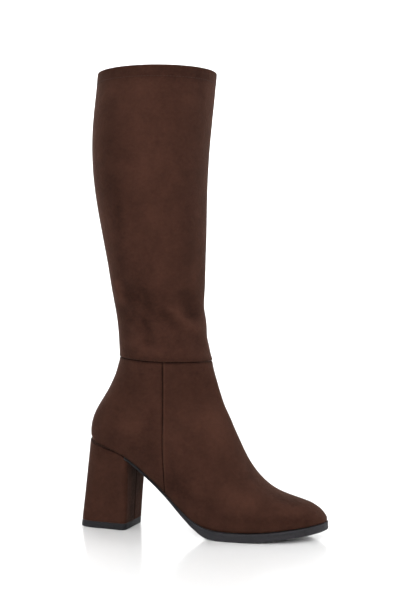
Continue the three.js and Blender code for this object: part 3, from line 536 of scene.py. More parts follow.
def closed_faces(rows, columns, start=0):
    """Faces of rings one after another, closed at both ends."""
    last = start + (rows - 1) * columns
    ends = [tuple(range(start, start + columns))[::-1], tuple(range(last, last + columns))]
    return grid_faces(rows, columns, start, True) + ends


def arc_lengths(row):
    return np.concatenate([[0], np.cumsum(np.linalg.norm(np.diff(row, axis=0), axis=1))])


def at_lengths(values, arc, places):
    """Points or directions of a row at arc lengths."""
    return np.stack([np.interp(places, arc, values[:, axis]) for axis in range(3)], -1)


def line(distance, width):
    """1 on a line, soft to its sides, and almost gone at twice the width."""
    return np.exp(-((distance / width) ** 2))


EDGE_STEPS = np.array([0, 0.07, 0.26, 0.55, 0.9])  # from an edge, in millimetres


def spread(start, end, count):
    """Positions from start to end, close together at both ends for the rounded edges."""
    length = end - start
    near = EDGE_STEPS * min(1, length / 8)
    middle = np.linspace(start + near[-1], end - near[-1], count - 2 * len(near) + 2)
    return np.concatenate([start + near[:-1], middle, (end - near[:-1])[::-1]])


def edge_round(distance):
    """Half the wall's thickness at a distance from its folded edge."""
    r = WALL / 2
    d = np.clip(distance, 0, r)
    return np.sqrt(r * r - (r - d) ** 2)


def differences(grid):
    """Steps from row to row, each from the row before to the row after."""
    steps = np.empty_like(grid)
    steps[1:-1] = grid[2:] - grid[:-2]
    steps[0] = grid[1] - grid[0]
    steps[-1] = grid[-1] - grid[-2]
    return steps


def grid_normals(grid, ring_from):
    """Outward normals of a grid whose rows close into rings from a row on."""
    along = differences(grid)
    around = differences(grid.swapaxes(0, 1)).swapaxes(0, 1)
    if ring_from is not None:
        wrap = grid[ring_from:, 1] - grid[ring_from:, -2]
        around[ring_from:, 0] = wrap
        around[ring_from:, -1] = wrap
    normal = np.cross(around, along)
    length = np.linalg.norm(normal, axis=2, keepdims=True)
    return normal / np.maximum(length, 1e-9)


def soft_lines(table, grid):
    """Sum of a table's soft lines over a surface. Each fades out towards the other side."""
    x, y, z = grid[..., 0], grid[..., 1], grid[..., 2]
    total = np.zeros_like(x)
    for side, x1, z1, x2, z2, width, amount in table:
        length = math.hypot(x2 - x1, z2 - z1)
        along = np.clip(((x - x1) * (x2 - x1) + (z - z1) * (z2 - z1)) / length**2, 0, 1)
        away = np.hypot(x - x1 - along * (x2 - x1), z - z1 - along * (z2 - z1))
        there = 1 / (1 + np.exp(-side * (y - side * 6) / 4))
        total += amount * there * line(2 * away, width)
    return total


def sheet(name, middle, normal, half, tone_and_painted_light, keep):
    """Closed sheet from its middle surface: suede outside, lining inside, rounded at its edges."""
    rows, columns = half.shape
    outer = middle + normal * half[..., None]
    inner = middle - normal * half[..., None]
    points = np.concatenate([outer.reshape(-1, 3), inner.reshape(-1, 3)])
    faces = grid_faces(rows, columns, 0, False, keep)
    lined = [face[::-1] for face in grid_faces(rows, columns, rows * columns, False, keep)]
    slots = [0] * len(faces) + [1] * len(lined)
    tone_and_painted_light = np.tile(tone_and_painted_light.reshape(-1), 2)
    return add_object(name, points, faces + lined, (suede, lining), slots, tone_and_painted_light)


# Node materials

class Material:
    """A material with short ways to add nodes to it."""

    def __init__(self, name, **constants):
        self.data = bpy.data.materials.new(name)
        self.data.use_nodes = True
        self.tree = self.data.node_tree
        self.shader = self.tree.nodes["Principled BSDF"]
        self.place = self.node("ShaderNodeTexCoord", {}, "Object")
        for socket, value in constants.items():
            self.shader.inputs[socket.replace("_", " ")].default_value = value

    def node(self, kind, inputs, output=0, **settings):
        node = self.tree.nodes.new(kind)
        for key, value in settings.items():
            setattr(node, key, value)
        for key, value in inputs.items():
            if isinstance(value, bpy.types.NodeSocket):
                self.tree.links.new(value, node.inputs[key])
            else:
                node.inputs[key].default_value = value
        return node.outputs[output]

    def math(self, operation, *values):
        return self.node("ShaderNodeMath", dict(enumerate(values)), operation=operation)

    def noise(self, size, detail=3, roughness=0.5, distortion=0.0, stretch=None):
        """Noise with features of a size in metres, centred on 0."""
        place = self.place
        if stretch:
            place = self.node("ShaderNodeMapping", {"Vector": place, "Scale": stretch})
        value = self.node("ShaderNodeTexNoise", {
            "Vector": place, "Scale": 1 / size, "Detail": detail, "Roughness": roughness,
            "Distortion": distortion,
        }, "Fac")
        return self.math("SUBTRACT", value, 0.5)

    def total(self, start, *terms):
        """A number plus weighted values."""
        value = start
        for factor, term in terms:
            value = self.math("MULTIPLY_ADD", term, factor, value)
        return value

    def ramp(self, value, *stops):
        node = self.tree.nodes.new("ShaderNodeValToRGB")
        elements = node.color_ramp.elements
        while len(elements) < len(stops):
            elements.new(0.5)
        for element, (position, colour) in zip(elements, stops):
            element.position = position
            element.color = (*colour, 1)
        self.tree.links.new(value, node.inputs["Fac"])
        return node.outputs["Color"]

    def bump(self, height, distance, normal=None):
        inputs = {"Height": height, "Distance": distance, "Strength": 1.0}
        if normal is not None:
            inputs["Normal"] = normal
        return self.node("ShaderNodeBump", inputs)

    def set(self, socket, value):
        self.tree.links.new(value, self.shader.inputs[socket])


def suede_material(name, dark, light):
    m = Material(
        name, Roughness=0.9, Specular_IOR_Level=0.04,
        Sheen_Weight=0.10, Sheen_Roughness=0.4, Sheen_Tint=(0.62, 0.36, 0.27, 1),
    )
    lay = m.noise(0.034, 3, 0.5, 0.7, (1, 1, 0.7))
    brush = m.noise(0.0085, 4, 0.6, 0.9, (1, 1, 1.15))
    mottle = m.noise(0.0030, 3, 0.6, 0.3, (1, 1, 1.2))
    fibre = m.noise(0.0007, 2, 0.6)
    # per-point tone: patches of the nap, painted shade in crease troughs, seams and along edges, and
    # painted highlights on crease ridges
    tone_and_painted_light = m.node("ShaderNodeAttribute", {}, "Fac", attribute_name="tone_and_painted_light")
    tone = m.total(0.5, (1.0, tone_and_painted_light), (0.6, lay), (0.36, brush), (0.42, mottle), (0.3, fibre))
    m.set("Base Color", m.ramp(tone, (0.0, dark), (1.0, light)))
    coarse = m.bump(brush, 0.0006)
    m.set("Normal", m.bump(m.total(0.0, (0.5, mottle), (0.35, fibre)), 0.0005, coarse))
    return m.data


def rubber_material(name):
    m = Material(name, Specular_IOR_Level=0.12)
    scuff = m.noise(0.014, 5, 0.65, 0.4)
    grain = m.noise(0.0008, 2, 0.5)
    # per-point tone: painted highlight along the outsole's top edge, painted shade over its waist, and the
    # lift lighter along its top edge
    rubber_tone_and_painted_light = m.node("ShaderNodeAttribute", {}, "Fac", attribute_name="tone_and_painted_light")
    tone = m.total(0.5, (0.7, scuff), (0.3, grain), (0.8, rubber_tone_and_painted_light))
    m.set("Base Color", m.ramp(tone, (0.1, (0.0045, 0.0045, 0.0052)), (0.9, (0.0270, 0.0258, 0.0290))))
    m.set("Roughness", m.total(0.6, (0.35, scuff)))
    m.set("Normal", m.bump(grain, 0.00012))
    return m.data


def cloth_material(name, dark, light, pitch):
    """Plain weave: waves that cross at a thread pitch in metres."""
    m = Material(name, Roughness=0.9, Specular_IOR_Level=0.15, Sheen_Weight=0.12)
    warp, weft = (
        m.node("ShaderNodeTexWave", {"Vector": m.place, "Scale": 0.1 / pitch, "Distortion": 0.3},
               "Fac", bands_direction=direction)
        for direction in ("DIAGONAL", "Z")
    )
    weave = m.math("MULTIPLY", warp, weft)
    tone = m.total(0.1, (0.6, weave), (0.7, m.noise(0.012, 3)))
    m.set("Base Color", m.ramp(tone, (0.0, dark), (1.0, light)))
    m.set("Normal", m.bump(weave, 0.00025))
    return m.data


def metal_material(name):
    m = Material(name, Metallic=1.0)
    marks = m.noise(0.0011, 3, 0.6, 0.0, (1, 1, 0.2))
    tone = m.total(0.5, (1.0, marks))
    m.set("Base Color", m.ramp(tone, (0.2, (0.16, 0.16, 0.157)), (0.8, (0.30, 0.297, 0.29))))
    m.set("Roughness", m.total(0.27, (0.25, marks)))
    m.set("Normal", m.bump(marks, 0.00004))
    return m.data


def nylon_material(name, dark, light, roughness):
    m = Material(name, Roughness=roughness, Specular_IOR_Level=0.3)
    tone = m.total(0.5, (0.8, m.noise(0.004, 3)), (0.4, m.noise(0.0004, 2)))
    m.set("Base Color", m.ramp(tone, (0.2, dark), (0.8, light)))
    m.set("Normal", m.bump(m.noise(0.0004, 2), 0.00005))
    return m.data


suede = suede_material("suede", (0.0080, 0.0029, 0.0017), (0.0462, 0.0192, 0.0126))
rubber = rubber_material("rubber")
lining = cloth_material("lining", (0.030, 0.019, 0.014), (0.085, 0.054, 0.040), 0.0009)
tape_cloth = cloth_material("zip_tape", (0.005, 0.006, 0.008), (0.020, 0.023, 0.029), 0.0007)
coil_nylon = nylon_material("zip_coil", (0.008, 0.009, 0.012), (0.018, 0.020, 0.025), 0.4)
thread = nylon_material("thread", (0.013, 0.0052, 0.0034), (0.026, 0.0105, 0.0068), 0.9)
metal = metal_material("zip_metal")


# Shaft: a sheet that goes round from the back edge of the zip slot, over the back, to its front edge

EDGE_ROWS = np.concatenate([EDGE_STEPS, [1.4, 2.0, 2.8, 4.0]])


def beside_zip(row, offset):
    """Arc length along a section where its inner half is at an offset from the zip's line."""
    half = len(row) // 2
    off = zip_offset(row[half:, 0], row[half:, 2])
    return np.interp(-offset, -off, arc_lengths(row)[half:])


def build_shaft():
    low = SEAM_HEIGHT + GAP
    heights = np.concatenate([
        low + EDGE_ROWS, np.linspace(low + 5.5, COLLAR_HEIGHT - 5.5, 150), COLLAR_HEIGHT - EDGE_ROWS[::-1],
    ])
    columns = 172
    rows = []
    for row, half in zip(section_points(shaft_section(heights), 220), slot_half(heights)):
        arc = arc_lengths(row)
        front, back = beside_zip(row, half), beside_zip(row, -half)
        places = np.mod(back + spread(0, arc[-1] - (back - front), columns), arc[-1])
        rows.append(at_lengths(row, arc, places))
    grid = np.stack(rows)
    raise_seam(grid)
    normal = grid_normals(grid, None)
    from_low = (heights - heights[0])[:, None]
    from_top = (heights[-1] - heights)[:, None]
    along = np.array([arc_lengths(row) for row in grid])
    from_slot = np.minimum(along, along[:, -1:] - along)
    half = edge_round(np.minimum(from_slot, np.minimum(from_low, from_top)))
    relief = soft_lines(CREASES, grid)
    relief += SHAFT_STEP * np.clip(1 - from_low / OVERLAP_FADE, 0, 1)
    relief -= HEM_DIP * line(from_top - HEM, DIP_WIDTH)
    relief -= STITCH_DIP * line(from_slot - STITCH_INSET, DIP_WIDTH)
    # the leather is a little fuller in the middle of the hem than at its stitches
    relief += 0.15 * np.sin(math.pi * np.clip(from_top / HEM, 0, 1))
    # the hem is a little darker and the collar's edge lighter; painted shade darkens the lower edge along
    # the ankle seam
    tone_and_painted_light = soft_lines(NAP_AND_PAINTED_LIGHT, grid)
    tone_and_painted_light -= 0.17 / (1 + np.exp((from_top - HEM - 2) / 1.6))
    tone_and_painted_light += 0.18 * line(from_top, 1.1)
    tone_and_painted_light -= 0.10 * line(from_low - 1.5, 2.5)
    middle = grid + normal * (relief - WALL / 2)[..., None]
    obj = sheet("shaft_suede", middle, normal, half, tone_and_painted_light, None)
    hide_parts("shaft")


# Foot part: a sheet over the last. Its columns keep to the side seam and to the zip slot's edges.

def foot_rows():
    steps = np.linspace(0, ANKLE_SECTION, 8 * ANKLE_SECTION + 1)
    toe = [0.004, 0.012, 0.03, 0.06]
    top = ANKLE_SECTION - np.array([0.26, 0.18, 0.12, 0.08, 0.05, 0.03, 0.015, 0.005])
    inner = steps[(steps < ANKLE_SECTION - 0.3) | (steps == ANKLE_SECTION)]
    return np.unique(np.concatenate([inner, toe, top]))


def row_of_zip_end(u):
    """The row that goes through the lower end of the zip's slot."""
    start = zip_start(ZIP_END)
    crossing = section_through(np.float64(zip_x(start)), np.float64(start))
    rows = foot_section(u)
    away = np.abs(rows["rx"] - crossing["rx"]) + np.abs(rows["bz"] - crossing["bz"])
    return int(np.argmin(away))


def side_seam_relief(beside):
    """Both panels turn in at the side seam, and the front one stands a little higher."""
    front = 0.3 * line(beside - 1.1, 1.0)
    rear = 0.12 * line(beside + 1.2, 1.1)
    return np.where(beside > 0, front, rear) - 0.9 * line(beside, 0.55)


def build_foot():
    u = foot_rows()
    sections = section_points(foot_section(u), 260)
    zip_row = row_of_zip_end(u)
    # columns behind the side seam, from it to the slot, over the slot, and behind that
    quarter, vamp, slot, back = 54, 122, 5, 44
    columns = quarter + vamp + slot + back - 3
    seam_at, positions = np.zeros(len(u)), np.empty((len(u), columns))
    for i in range(len(u) - 1, -1, -1):
        row = sections[i]
        total = arc_lengths(row)[-1]
        half = len(row) // 2
        ahead_of_seam = row[:half, 0] - np.interp(row[:half, 2], SIDE_SEAM[:, 0], SIDE_SEAM[:, 1])
        if ahead_of_seam[0] < 0:
            seam_at[i] = np.interp(0, ahead_of_seam, arc_lengths(row)[:half])
        if i >= zip_row:
            edges = np.array([beside_zip(row, ZIP_SLOT / 2), beside_zip(row, -ZIP_SLOT / 2)])
            left = total - edges
        else:
            # ahead of the zip's end the same columns keep their distance from the inner edge
            edges = total - np.minimum(left, [0.4 * total, 0.2 * total])
        positions[i] = np.concatenate([
            spread(0, seam_at[i], quarter)[:-1],
            spread(seam_at[i], edges[0], vamp)[:-1],
            np.linspace(edges[0], edges[1], slot)[:-1],
            spread(edges[1], total, back),
        ])
    grid = np.stack([at_lengths(row, arc_lengths(row), at) for row, at in zip(sections, positions)])
    from_top = SEAM_HEIGHT - grid[..., 2]
    raise_seam(grid)
    seat_row = int(np.argmin(np.abs(u - SEAT_CORNER)))
    normal = grid_normals(grid, seat_row)
    seam = quarter - 1
    ahead = seam_at == 0
    normal[ahead, :seam] = normal[ahead, seam:seam + 1]
    normal[0] = (1, 0, 0)
    along = np.array([arc_lengths(row) for row in grid])
    from_edge = np.minimum(along, along[:, -1:] - along)
    from_edge[seat_row:] = FAR
    first, last = quarter + vamp - 2, quarter + vamp + slot - 3
    from_front = np.abs(along - along[:, first:first + 1])
    from_back = np.abs(along - along[:, last:last + 1])
    from_slot = np.minimum(from_front, from_back)
    from_slot[:, first + 1:last] = 0
    from_slot[:zip_row] = FAR
    half = edge_round(np.minimum(np.minimum(from_edge, from_slot), from_top))
    beside = along - along[:, seam:seam + 1]
    beside[ahead] = FAR
    relief = side_seam_relief(beside)
    relief -= STITCH_DIP * line(from_slot - STITCH_INSET, DIP_WIDTH)
    # under the shaft the top edge is thinned
    relief -= 0.7 * np.clip(1 - from_top / 2.2, 0, 1) ** 2
    # painted shade in the side seam, with a lighter line in front of it, and painted shade at both edges:
    # along the bottom edge by the sole and the heel, and along the top edge under the shaft
    tone_and_painted_light = soft_lines(NAP_AND_PAINTED_LIGHT, grid)
    tone_and_painted_light += np.where(beside > 0, 0.26 * line(beside - 1.7, 0.9), 0)
    tone_and_painted_light -= 0.55 * line(beside, 0.7)
    tone_and_painted_light -= 0.14 * line(from_edge, 4) + 0.4 * line(from_edge, 0.8)
    tone_and_painted_light -= 0.5 * line(from_top, 1.6)
    middle = grid + normal * (relief - WALL / 2)[..., None]
    keep = np.ones((len(u) - 1, columns - 1), bool)
    keep[zip_row:, first:last] = False
    obj = sheet("foot_suede", middle, normal, half, tone_and_painted_light, keep)
    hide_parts("upper")


# Sole and heel

def sole_top(x):
    return bottom_height(x) - GAP


def sole_underside(x):
    thick = sole_thickness_share(x / LAST_LENGTH) * SOLE_THICKNESS * np.hypot(1, bottom_slope(x))
    return np.maximum(0, bottom_height(x) - thick)


def breast_height():
    """Where the heel's breast meets the sole."""
    z = np.arange(0, HEEL_HEIGHT, 0.5)
    return z[np.argmax(sole_underside(heel_front(z)) <= z)]


SOLE_END = heel_front(breast_height()) - SOLE_LAP


def section_at_length(x):
    u = np.linspace(0, SEAT_CORNER, 4000)
    return float(np.interp(-x, -foot_section(u)["bx"], u))


def sole_profile():
    """The sole's side from top to bottom: inset, what it is measured from, and how far."""
    top, low = SOLE_TOP_ROUND, SOLE_LOW_ROUND
    profile = []
    for a in np.linspace(0, math.pi / 2, 5):
        profile.append((top * (1 - math.sin(a)), "top", top * (1 - math.cos(a))))
    for share in (0.3, 0.5, 0.7):
        profile.append((SOLE_SIDE_HOLLOW * math.sin(math.pi * share) ** 2, "middle", share))
    for a in np.linspace(0, math.pi / 2, 6):
        profile.append((low * (1 - math.cos(a)), "low", low * (1 - math.sin(a))))
    return profile


def build_outsole():
    last = section_at_length(SOLE_END)
    u = np.concatenate([np.linspace(0, 1, 10) ** 1.5, np.linspace(1, last, 130)[1:]])
    s = foot_section(u)
    outer = np.stack([s["bx"], s["edge"][0]], 1)
    inner = np.stack([s["bx"], s["edge"][1]], 1)
    loop = np.concatenate([outer[::-1], inner[1:]])
    along = np.gradient(loop, axis=0)
    along /= np.linalg.norm(along, axis=1, keepdims=True)
    out = np.stack([along[:, 1], -along[:, 0]], 1)
    share = sole_welt_share(loop[:, 0] / LAST_LENGTH)
    push = share * np.where(share > 0, SOLE_WELT, SOLE_WAIST_INSET)
    base = loop + out * push[:, None]
    top = sole_top(base[:, 0])
    under = sole_underside(base[:, 0])
    thick = top - under
    rings = []
    for inset, kind, value in sole_profile():
        factor = np.minimum(1, thick / 4)
        flat = base - out * (inset * factor)[:, None]
        if kind == "top":
            z = top - value * factor
        elif kind == "low":
            z = under + value * factor
        else:
            high, low = top - SOLE_TOP_ROUND * factor, under + SOLE_LOW_ROUND * factor
            z = high + (low - high) * value
        rings.append(np.column_stack([flat, z]))
    band = np.stack(rings)
    count = band.shape[1]
    points = list(band.reshape(-1, 3))
    faces = grid_faces(len(band), count)
    half = len(outer)
    for level in (0, len(band) - 1):
        left = band[level][:half][::-1]
        right = np.concatenate([left[:1], band[level][half:]])
        across = np.linspace(0, 1, 15)[None, :, None]
        cap = left[:, None] * (1 - across) + right[:, None] * across
        if level:
            cap[..., 2] = sole_underside(cap[..., 0])
        start = len(points)
        points += list(cap.reshape(-1, 3))
        faces += grid_faces(cap.shape[0], cap.shape[1], start)
    left_end = [i * count for i in range(len(band))]
    right_end = [i * count + count - 1 for i in range(len(band))]
    faces.append(tuple(left_end + right_end[::-1]))
    # painted highlight along the top edge, and painted shade over the waist
    rubber_tone_and_painted_light = np.zeros(len(points))
    rubber_tone_and_painted_light[:2 * count] = 0.4
    rubber_tone_and_painted_light -= 0.6 * np.clip((128 - np.array(points)[:, 0]) / 60, 0, 1)
    obj = add_object("outsole_rubber", points, faces, [rubber], tone_and_painted_light=rubber_tone_and_painted_light)
    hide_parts("outsole")


BACK, SIDE, CORNER, BREAST, SEAM = range(5)  # stretches of the heel's plan
# y and depth of the seam in the middle of the breast
BREAST_SEAM = [
    (HEEL_SEAM_ZONE, 0), (4, 0), (1.6, 0), (0.9, 0.05), (0.45, 0.3), (0.15, 0.75), (0, 0.9),
]


def heel_plan():
    """Points round the heel: stretch, place in it, side and depth of the breast's seam."""
    half = [(SIDE, t, 1, 0) for t in np.linspace(0, 1, 10)[1:]]
    half += [(CORNER, a, 1, 0) for a in np.linspace(0, math.pi / 2, 7)[1:]]
    half += [(BREAST, t, 1, 0) for t in np.linspace(0, 1, 6)[1:-1]]
    half += [(SEAM, y, 1, depth) for y, depth in BREAST_SEAM]
    back = [(BACK, a, 1, 0) for a in np.linspace(-math.pi / 2, math.pi / 2, 61)]
    mirrored = [(kind, value, -1, depth) for kind, value, _, depth in half[-2::-1]]
    return np.array(back + half + mirrored)


HEEL_PLAN = heel_plan()
SEAT = foot_section(SEAT_CORNER)
SEAT_HALF = foot_section(section_at_length(heel_front(HEEL_HEIGHT)))["edge"][1] + HEEL_SEAT_MARGIN


def heel_roof(x):
    """The heel's top: under the foot part, and in front of the sole's end under the sole."""
    seat = sole_top(np.maximum(x, SEAT["bx"]))
    return np.where(x < SOLE_END - GAP, seat, sole_underside(x) - GAP)


def drawn_in(ring, centre, inset):
    """A ring in plan, moved towards a centre."""
    towards = centre - ring
    return ring + towards / np.linalg.norm(towards, axis=1, keepdims=True) * inset


def heel_ring(z, inset=0.0):
    """Plan of the heel at a height, or at one for each point, from the back round the breast."""
    kind, value, side, depth = HEEL_PLAN.T
    share = np.broadcast_to(np.asarray(z, float), kind.shape) / HEEL_HEIGHT
    back = HEEL_BACK + (SEAT["bx"] - HEEL_SEAT_MARGIN - HEEL_BACK) * share
    front = heel_front(z) + 0 * share
    roundness = 3 - 0.85 * share
    turn = front - (front - back) * 0.42
    taper = HEEL_TAPER * (1 - share)
    c = HEEL_CORNER
    cosine, sine = np.maximum(0, np.cos(value)), np.sin(value)
    x = np.choose(kind.astype(int), [
        turn - (turn - back) * cosine ** (2 / roundness),
        turn + (front - c - turn) * value,
        front - c + c * sine,
        front,
        front - depth,
    ])
    flare = np.minimum(1, z / heel_roof(x))
    half = HEEL_WIDTH / 2 + (SEAT_HALF - HEEL_WIDTH / 2) * (0.25 * flare + 0.75 * flare**3)
    y = side * np.choose(kind.astype(int), [
        (half - taper) * np.sign(sine) * np.abs(sine) ** (2 / roundness),
        half - taper * (1 - value),
        half - c + c * cosine,
        half - c + (HEEL_SEAM_ZONE - half + c) * value,
        value,
    ])
    ring = np.stack([x, y], 1)
    return drawn_in(ring, np.array([x.mean(), 0]), inset) if inset else ring


def build_heel():
    low = LIFT_THICKNESS + GAP
    levels = [(0, 0.5), (0.15, 0.15), (0.5, 0)]
    rings = []
    count = len(heel_ring(10))
    for rise, inset in levels:
        ring = heel_ring(low + rise, inset)
        rings.append(np.column_stack([ring, np.full(count, low + rise)]))
    for share in np.linspace(0.03, 1, 46):
        z = np.full(count, low + share * (HEEL_HEIGHT * 0.8 - low))
        for _ in range(12):
            ring = heel_ring(z)
            z = low + share * (heel_roof(ring[:, 0]) - low)
        rings.append(np.column_stack([ring, z]))
    # the top closes inwards over a rounded edge
    plan = rings[-1][:, :2].copy()
    rings[-1][:, 2] -= 0.6
    for inset, rise in ((0.35, 0.05), (0.7, 0), (8, 0)):
        ring = drawn_in(plan, plan.mean(0), inset)
        rings.append(np.column_stack([ring, heel_roof(ring[:, 0]) + rise]))
    band = np.stack(rings)
    points = band.reshape(-1, 3)
    # painted shade: the breast is darker than the sides, its seam darker again, and so is the line of the
    # seat under the foot part's edge
    kind, value, side, depth = np.tile(HEEL_PLAN, (len(band), 1)).T
    outer, inner = np.where(kind == BREAST, 0.10 + 0.35 * value, 0.45), 0.28
    tone_and_painted_light = -np.where(kind >= BREAST, np.where(side < 0, outer, inner), 0)
    tone_and_painted_light -= np.where((kind == SEAM) & (depth > 0), 0.35, 0)
    tone_and_painted_light -= 0.5 * line(heel_roof(points[:, 0]) - points[:, 2], 1.1)
    obj = add_object("heel_cover", points, closed_faces(len(band), count), [suede], tone_and_painted_light=tone_and_painted_light)
    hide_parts("heel_block")


def build_lift():
    top = LIFT_THICKNESS
    levels = [
        (0, 1.6), (0, 0.6), (0.2, 0.2), (0.6, 0), (2.5, 0), (4.5, 0),
        (top - 0.6, 0), (top - 0.2, 0.15), (top, 0.5), (top, 1.8),
    ]
    count = len(heel_ring(1))
    rings = []
    for z, inset in levels:
        ring = heel_ring(z, inset)
        # straight across where the heel's cover has its seam
        front = heel_front(z) - inset
        seam = (np.abs(ring[:, 1]) < 1.7) & (ring[:, 0] > front - 2)
        ring[seam, 0] = front
        rings.append(np.column_stack([ring, np.full(count, float(z))]))
    points = np.concatenate(rings)
    # lighter along the top edge, darker elsewhere
    rubber_tone_and_painted_light = np.where(np.array(levels)[:, 0] > top - 0.5, 0.1, -0.25).repeat(count)
    obj = add_object("lift_rubber", points, closed_faces(len(levels), count), [rubber], tone_and_painted_light=rubber_tone_and_painted_light)
    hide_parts("heel_top_lift")


# Stitching

# share of a stitch's length, rise out of the leather and share of its radius
STITCH_SHAPE = [(0, -0.35, 0.5), (0.2, 0.05, 0.95), (0.5, 0.12, 1), (0.8, 0.05, 0.95), (1, -0.35, 0.5)]
THREAD_SIDES = 6


def build_stitch_line(name, path, normals):
    """Short thread stitches along a path of points, each dipping into the leather at its ends."""
    arc = arc_lengths(path)
    points, faces = [], []
    for start in np.arange(STITCH_PITCH / 2, arc[-1] - STITCH_LENGTH, STITCH_PITCH):
        here = [at_lengths(path, arc, start + share * STITCH_LENGTH) for share, _, _ in STITCH_SHAPE]
        up = at_lengths(normals, arc, start)
        up /= np.linalg.norm(up)
        along = here[-1] - here[0]
        along /= np.linalg.norm(along)
        across = np.cross(along, up)
        base = len(points)
        for centre, (_, rise, share) in zip(here, STITCH_SHAPE):
            radius = THREAD_RADIUS * share
            for k in range(THREAD_SIDES):
                a = 2 * math.pi * k / THREAD_SIDES
                points.append(
                    centre + up * (rise + radius * math.sin(a)) + across * radius * math.cos(a)
                )
        faces += grid_faces(len(STITCH_SHAPE), THREAD_SIDES, base, True)
    obj = add_object(name, points, faces, [thread], merge=False)


def beside_slot(side, low, high):
    """Points and normals on a line in front of the zip's slot (side 1) or behind it (-1)."""
    z = np.arange(low, high, 3.0)
    slope = zip_slope(z)
    length = np.hypot(1, slope)
    offset = side * (slot_half(z) + STITCH_INSET)
    x = zip_x(z) + offset / length
    level = z - offset * slope / length
    step = SHAFT_STEP * np.clip(1 - (level - SEAM_HEIGHT) / OVERLAP_FADE, 0, 1)
    raised = np.where(level > SEAM_HEIGHT, step, 0)
    return surface_point(x, level, 1, raised), surface_normal(x, level, 1)


def below_collar():
    """Points and normals on a line round the shaft, from the back of the slot to its front."""
    z = COLLAR_HEIGHT - HEM
    ring = section_points(shaft_section(np.array([z])), 160)[0]
    arc = arc_lengths(ring)
    away = slot_half(z) + STITCH_INSET
    front, back = beside_zip(ring, away), beside_zip(ring, -away)
    places = np.mod(np.arange(back, back + arc[-1] - (back - front), 1.5), arc[-1])
    path = at_lengths(ring, arc, places)
    normals = path - np.array([path[:, 0].mean(), 0, z])
    normals /= np.linalg.norm(normals, axis=1, keepdims=True)
    return path - normals * 0.12, normals


def build_stitches():
    stretches = [
        ("foot", zip_start(ZIP_END) + 8, SEAM_HEIGHT - 2),
        ("shaft", SEAM_HEIGHT + 3, COLLAR_HEIGHT - HEM - 1),
    ]
    for name, side in (("front", 1), ("back", -1)):
        for stretch, low, high in stretches:
            build_stitch_line(f"zip_stitch_{name}_{stretch}", *beside_slot(side, low, high))
    build_stitch_line("collar_stitch", *below_collar())


# Zip

def zip_frames(z, height):
    """Places on the zip's line with directions across it, out of the boot and up along it."""
    origin = surface_point(zip_x(z), z, 1, height + 0 * z)
    up = surface_point(zip_x(z + 1), z + 1, 1, height + 0 * z) - origin
    up /= np.linalg.norm(up, axis=1, keepdims=True)
    across = np.cross(surface_normal(zip_x(z), z, 1), up)
    across /= np.linalg.norm(across, axis=1, keepdims=True)
    return origin, across, np.cross(up, across), up


# a tooth's section, along the zip and out of it, and its reach across the zip with its size there
TOOTH_PROFILE = [
    (-0.52, 0.25), (-0.36, 0.02), (0.36, 0.02), (0.52, 0.25),
    (0.52, 0.72), (0.3, 0.97), (-0.3, 0.97), (-0.52, 0.72),
]
TOOTH_STATIONS = [(-0.75, 0.55), (-0.55, 0.9), (0.2, 1.0), (1.6, 0.86), (2.5, 0.8), (2.85, 0.5)]


def build_coil():
    """Teeth by turns from both sides, up to where the slider covers them."""
    coil_bottom = -(WALL + TAPE_SINK) + GAP
    heights = np.arange(zip_start(ZIP_END + 1) + 0.5, COLLAR_HEIGHT - COIL_TOP_MARGIN, TOOTH_PITCH / 2)
    points, faces = [], []
    for k, (origin, across, out, up) in enumerate(zip(*zip_frames(heights, coil_bottom))):
        direction = 1 if k % 2 else -1
        base = len(points)
        for reach, size in TOOTH_STATIONS:
            for along, rise in TOOTH_PROFILE:
                points.append(
                    origin
                    + across * direction * reach
                    + up * along * size * 0.9
                    + out * (0.05 + (rise - 0.5) * size + 0.5) * (COIL_THICKNESS - 0.15)
                )
        faces += closed_faces(len(TOOTH_STATIONS), len(TOOTH_PROFILE), base)
    obj = add_object("coil_teeth", points, faces, [coil_nylon], merge=False)
    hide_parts("zip_coil")


def finish_node(name, material, bevel=0.0):
    """A node that keeps its shape: its material, and edges softened by a bevel in metres."""
    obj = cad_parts[name]
    obj.data.materials.clear()
    obj.data.materials.append(material)
    if bevel:
        soften = obj.modifiers.new("edges", "BEVEL")
        soften.width = bevel
        soften.segments = 3
        soften.limit_method = "ANGLE"
        soften.angle_limit = math.radians(35)


build_shaft()
build_foot()
build_outsole()
build_heel()
build_lift()
build_stitches()
build_coil()
finish_node("insole", lining)
finish_node("zip_tape_front", tape_cloth)
finish_node("zip_tape_back", tape_cloth)
finish_node("zip_slider", metal, 0.00025)
finish_node("zip_pull_tab", metal, 0.0003)


# Studio: a pale floor that sweeps up all round, soft light, the photograph's camera

def build_floor():
    """A round floor in metres, with a wall all round that it bends up into."""
    radius, bend, wall = 3.0, 1.4, 4.0
    profile = [(0.0, 0.0), (0.5, 0.0), (1.4, 0.0), (radius, 0.0)]
    for a in np.linspace(0, math.pi / 2, 16)[1:]:
        profile.append((radius + bend * math.sin(a), bend * (1 - math.cos(a))))
    profile.append((radius + bend, wall))
    turns = 96
    points = [
        (r * math.cos(2 * math.pi * k / turns), r * math.sin(2 * math.pi * k / turns), z)
        for r, z in profile for k in range(turns)
    ]
    mesh = bpy.data.meshes.new("floor")
    mesh.from_pydata(points, [], grid_faces(len(profile), turns, 0, True))
    mesh.shade_smooth()
    m = Material("floor", Roughness=0.16, Specular_IOR_Level=0.5)
    tone = m.total(0.5, (0.5, m.noise(0.3, 3)))
    m.set("Base Color", m.ramp(tone, (0.0, (0.83, 0.83, 0.83)), (1.0, (0.86, 0.86, 0.86))))
    mesh.materials.append(m.data)
    in_scene("floor", mesh)


def turn_to(obj, position, target):
    obj.location = position
    obj.rotation_euler = (Vector(target) - Vector(position)).to_track_quat("-Z", "Y").to_euler()


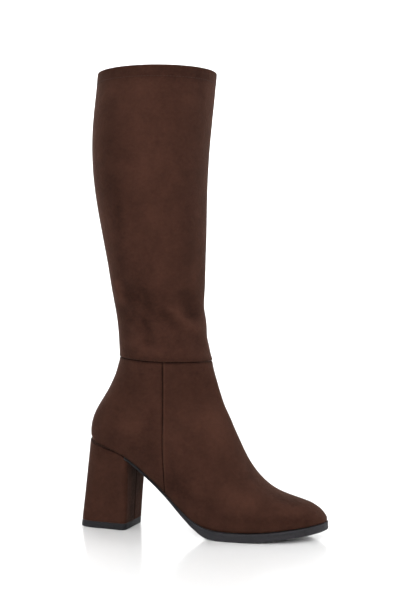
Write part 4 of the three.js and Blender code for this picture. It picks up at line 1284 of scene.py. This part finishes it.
def add_light(name, position, target, size, power):
    data = bpy.data.lights.new(name, "AREA")
    data.shape = "RECTANGLE"
    data.size, data.size_y = size
    data.energy = power
    turn_to(in_scene(name, data), position, target)


def build_studio():
    build_floor()
    world = bpy.data.worlds.new("studio")
    world.use_nodes = True
    background = world.node_tree.nodes["Background"]
    background.inputs["Color"].default_value = (1, 1, 1, 1)
    background.inputs["Strength"].default_value = 0.22
    bpy.context.scene.world = world
    aim = (0, 0, 0.22)
    add_light("key", (0.35, -1.9, 1.3), aim, (1.2, 1.1), 40)
    add_light("rim_left", (-1.2, 1.4, 0.9), aim, (0.6, 1.6), 14)
    add_light("rim_right", (1.7, 0.9, 0.9), aim, (0.7, 1.6), 16)
    add_light("top", (0.0, 0.0, 2.3), aim, (1.6, 1.6), 14)
    # six more light the wall alone, evenly all round
    for k in range(6):
        turn = math.radians(60 * k + 30)
        x, y = math.sin(turn), math.cos(turn)
        add_light(f"wall_{k}", (2.4 * x, 2.4 * y, 2.5), (4.4 * x, 4.4 * y, 0.7), (1.6, 1.2), 62)
    scene = bpy.context.scene
    scene.view_settings.view_transform = "Standard"
    scene.view_settings.look = "None"


# Camera: where the photograph was taken from, turned to the boot
PHOTO_FOCAL = 982.55  # in pixels of the photograph
PHOTO_LONG_SIDE = 601
SENSOR = 36
CLOSER = 1.2  # a longer lens than the photograph's, so that the boot fills the frame
CAMERA_HEIGHT = 246.67
CAMERA_DISTANCE = 1141.94
CAMERA_TURN = 21.22  # degrees towards the toe from square to the side
SHAFT_X = 78  # where the camera's distance is measured from
LOOK_AT = (112, 6, 222)


def build_camera():
    turn = math.radians(CAMERA_TURN)
    place = [SHAFT_X + CAMERA_DISTANCE * math.sin(turn), -CAMERA_DISTANCE * math.cos(turn), CAMERA_HEIGHT]
    data = bpy.data.cameras.new("photo")
    data.sensor_width = SENSOR
    data.lens = PHOTO_FOCAL / PHOTO_LONG_SIDE * SENSOR * CLOSER
    camera = in_scene("photo", data)
    turn_to(camera, to_part(place), to_part(LOOK_AT))
    bpy.context.scene.camera = camera


build_studio()
build_camera()
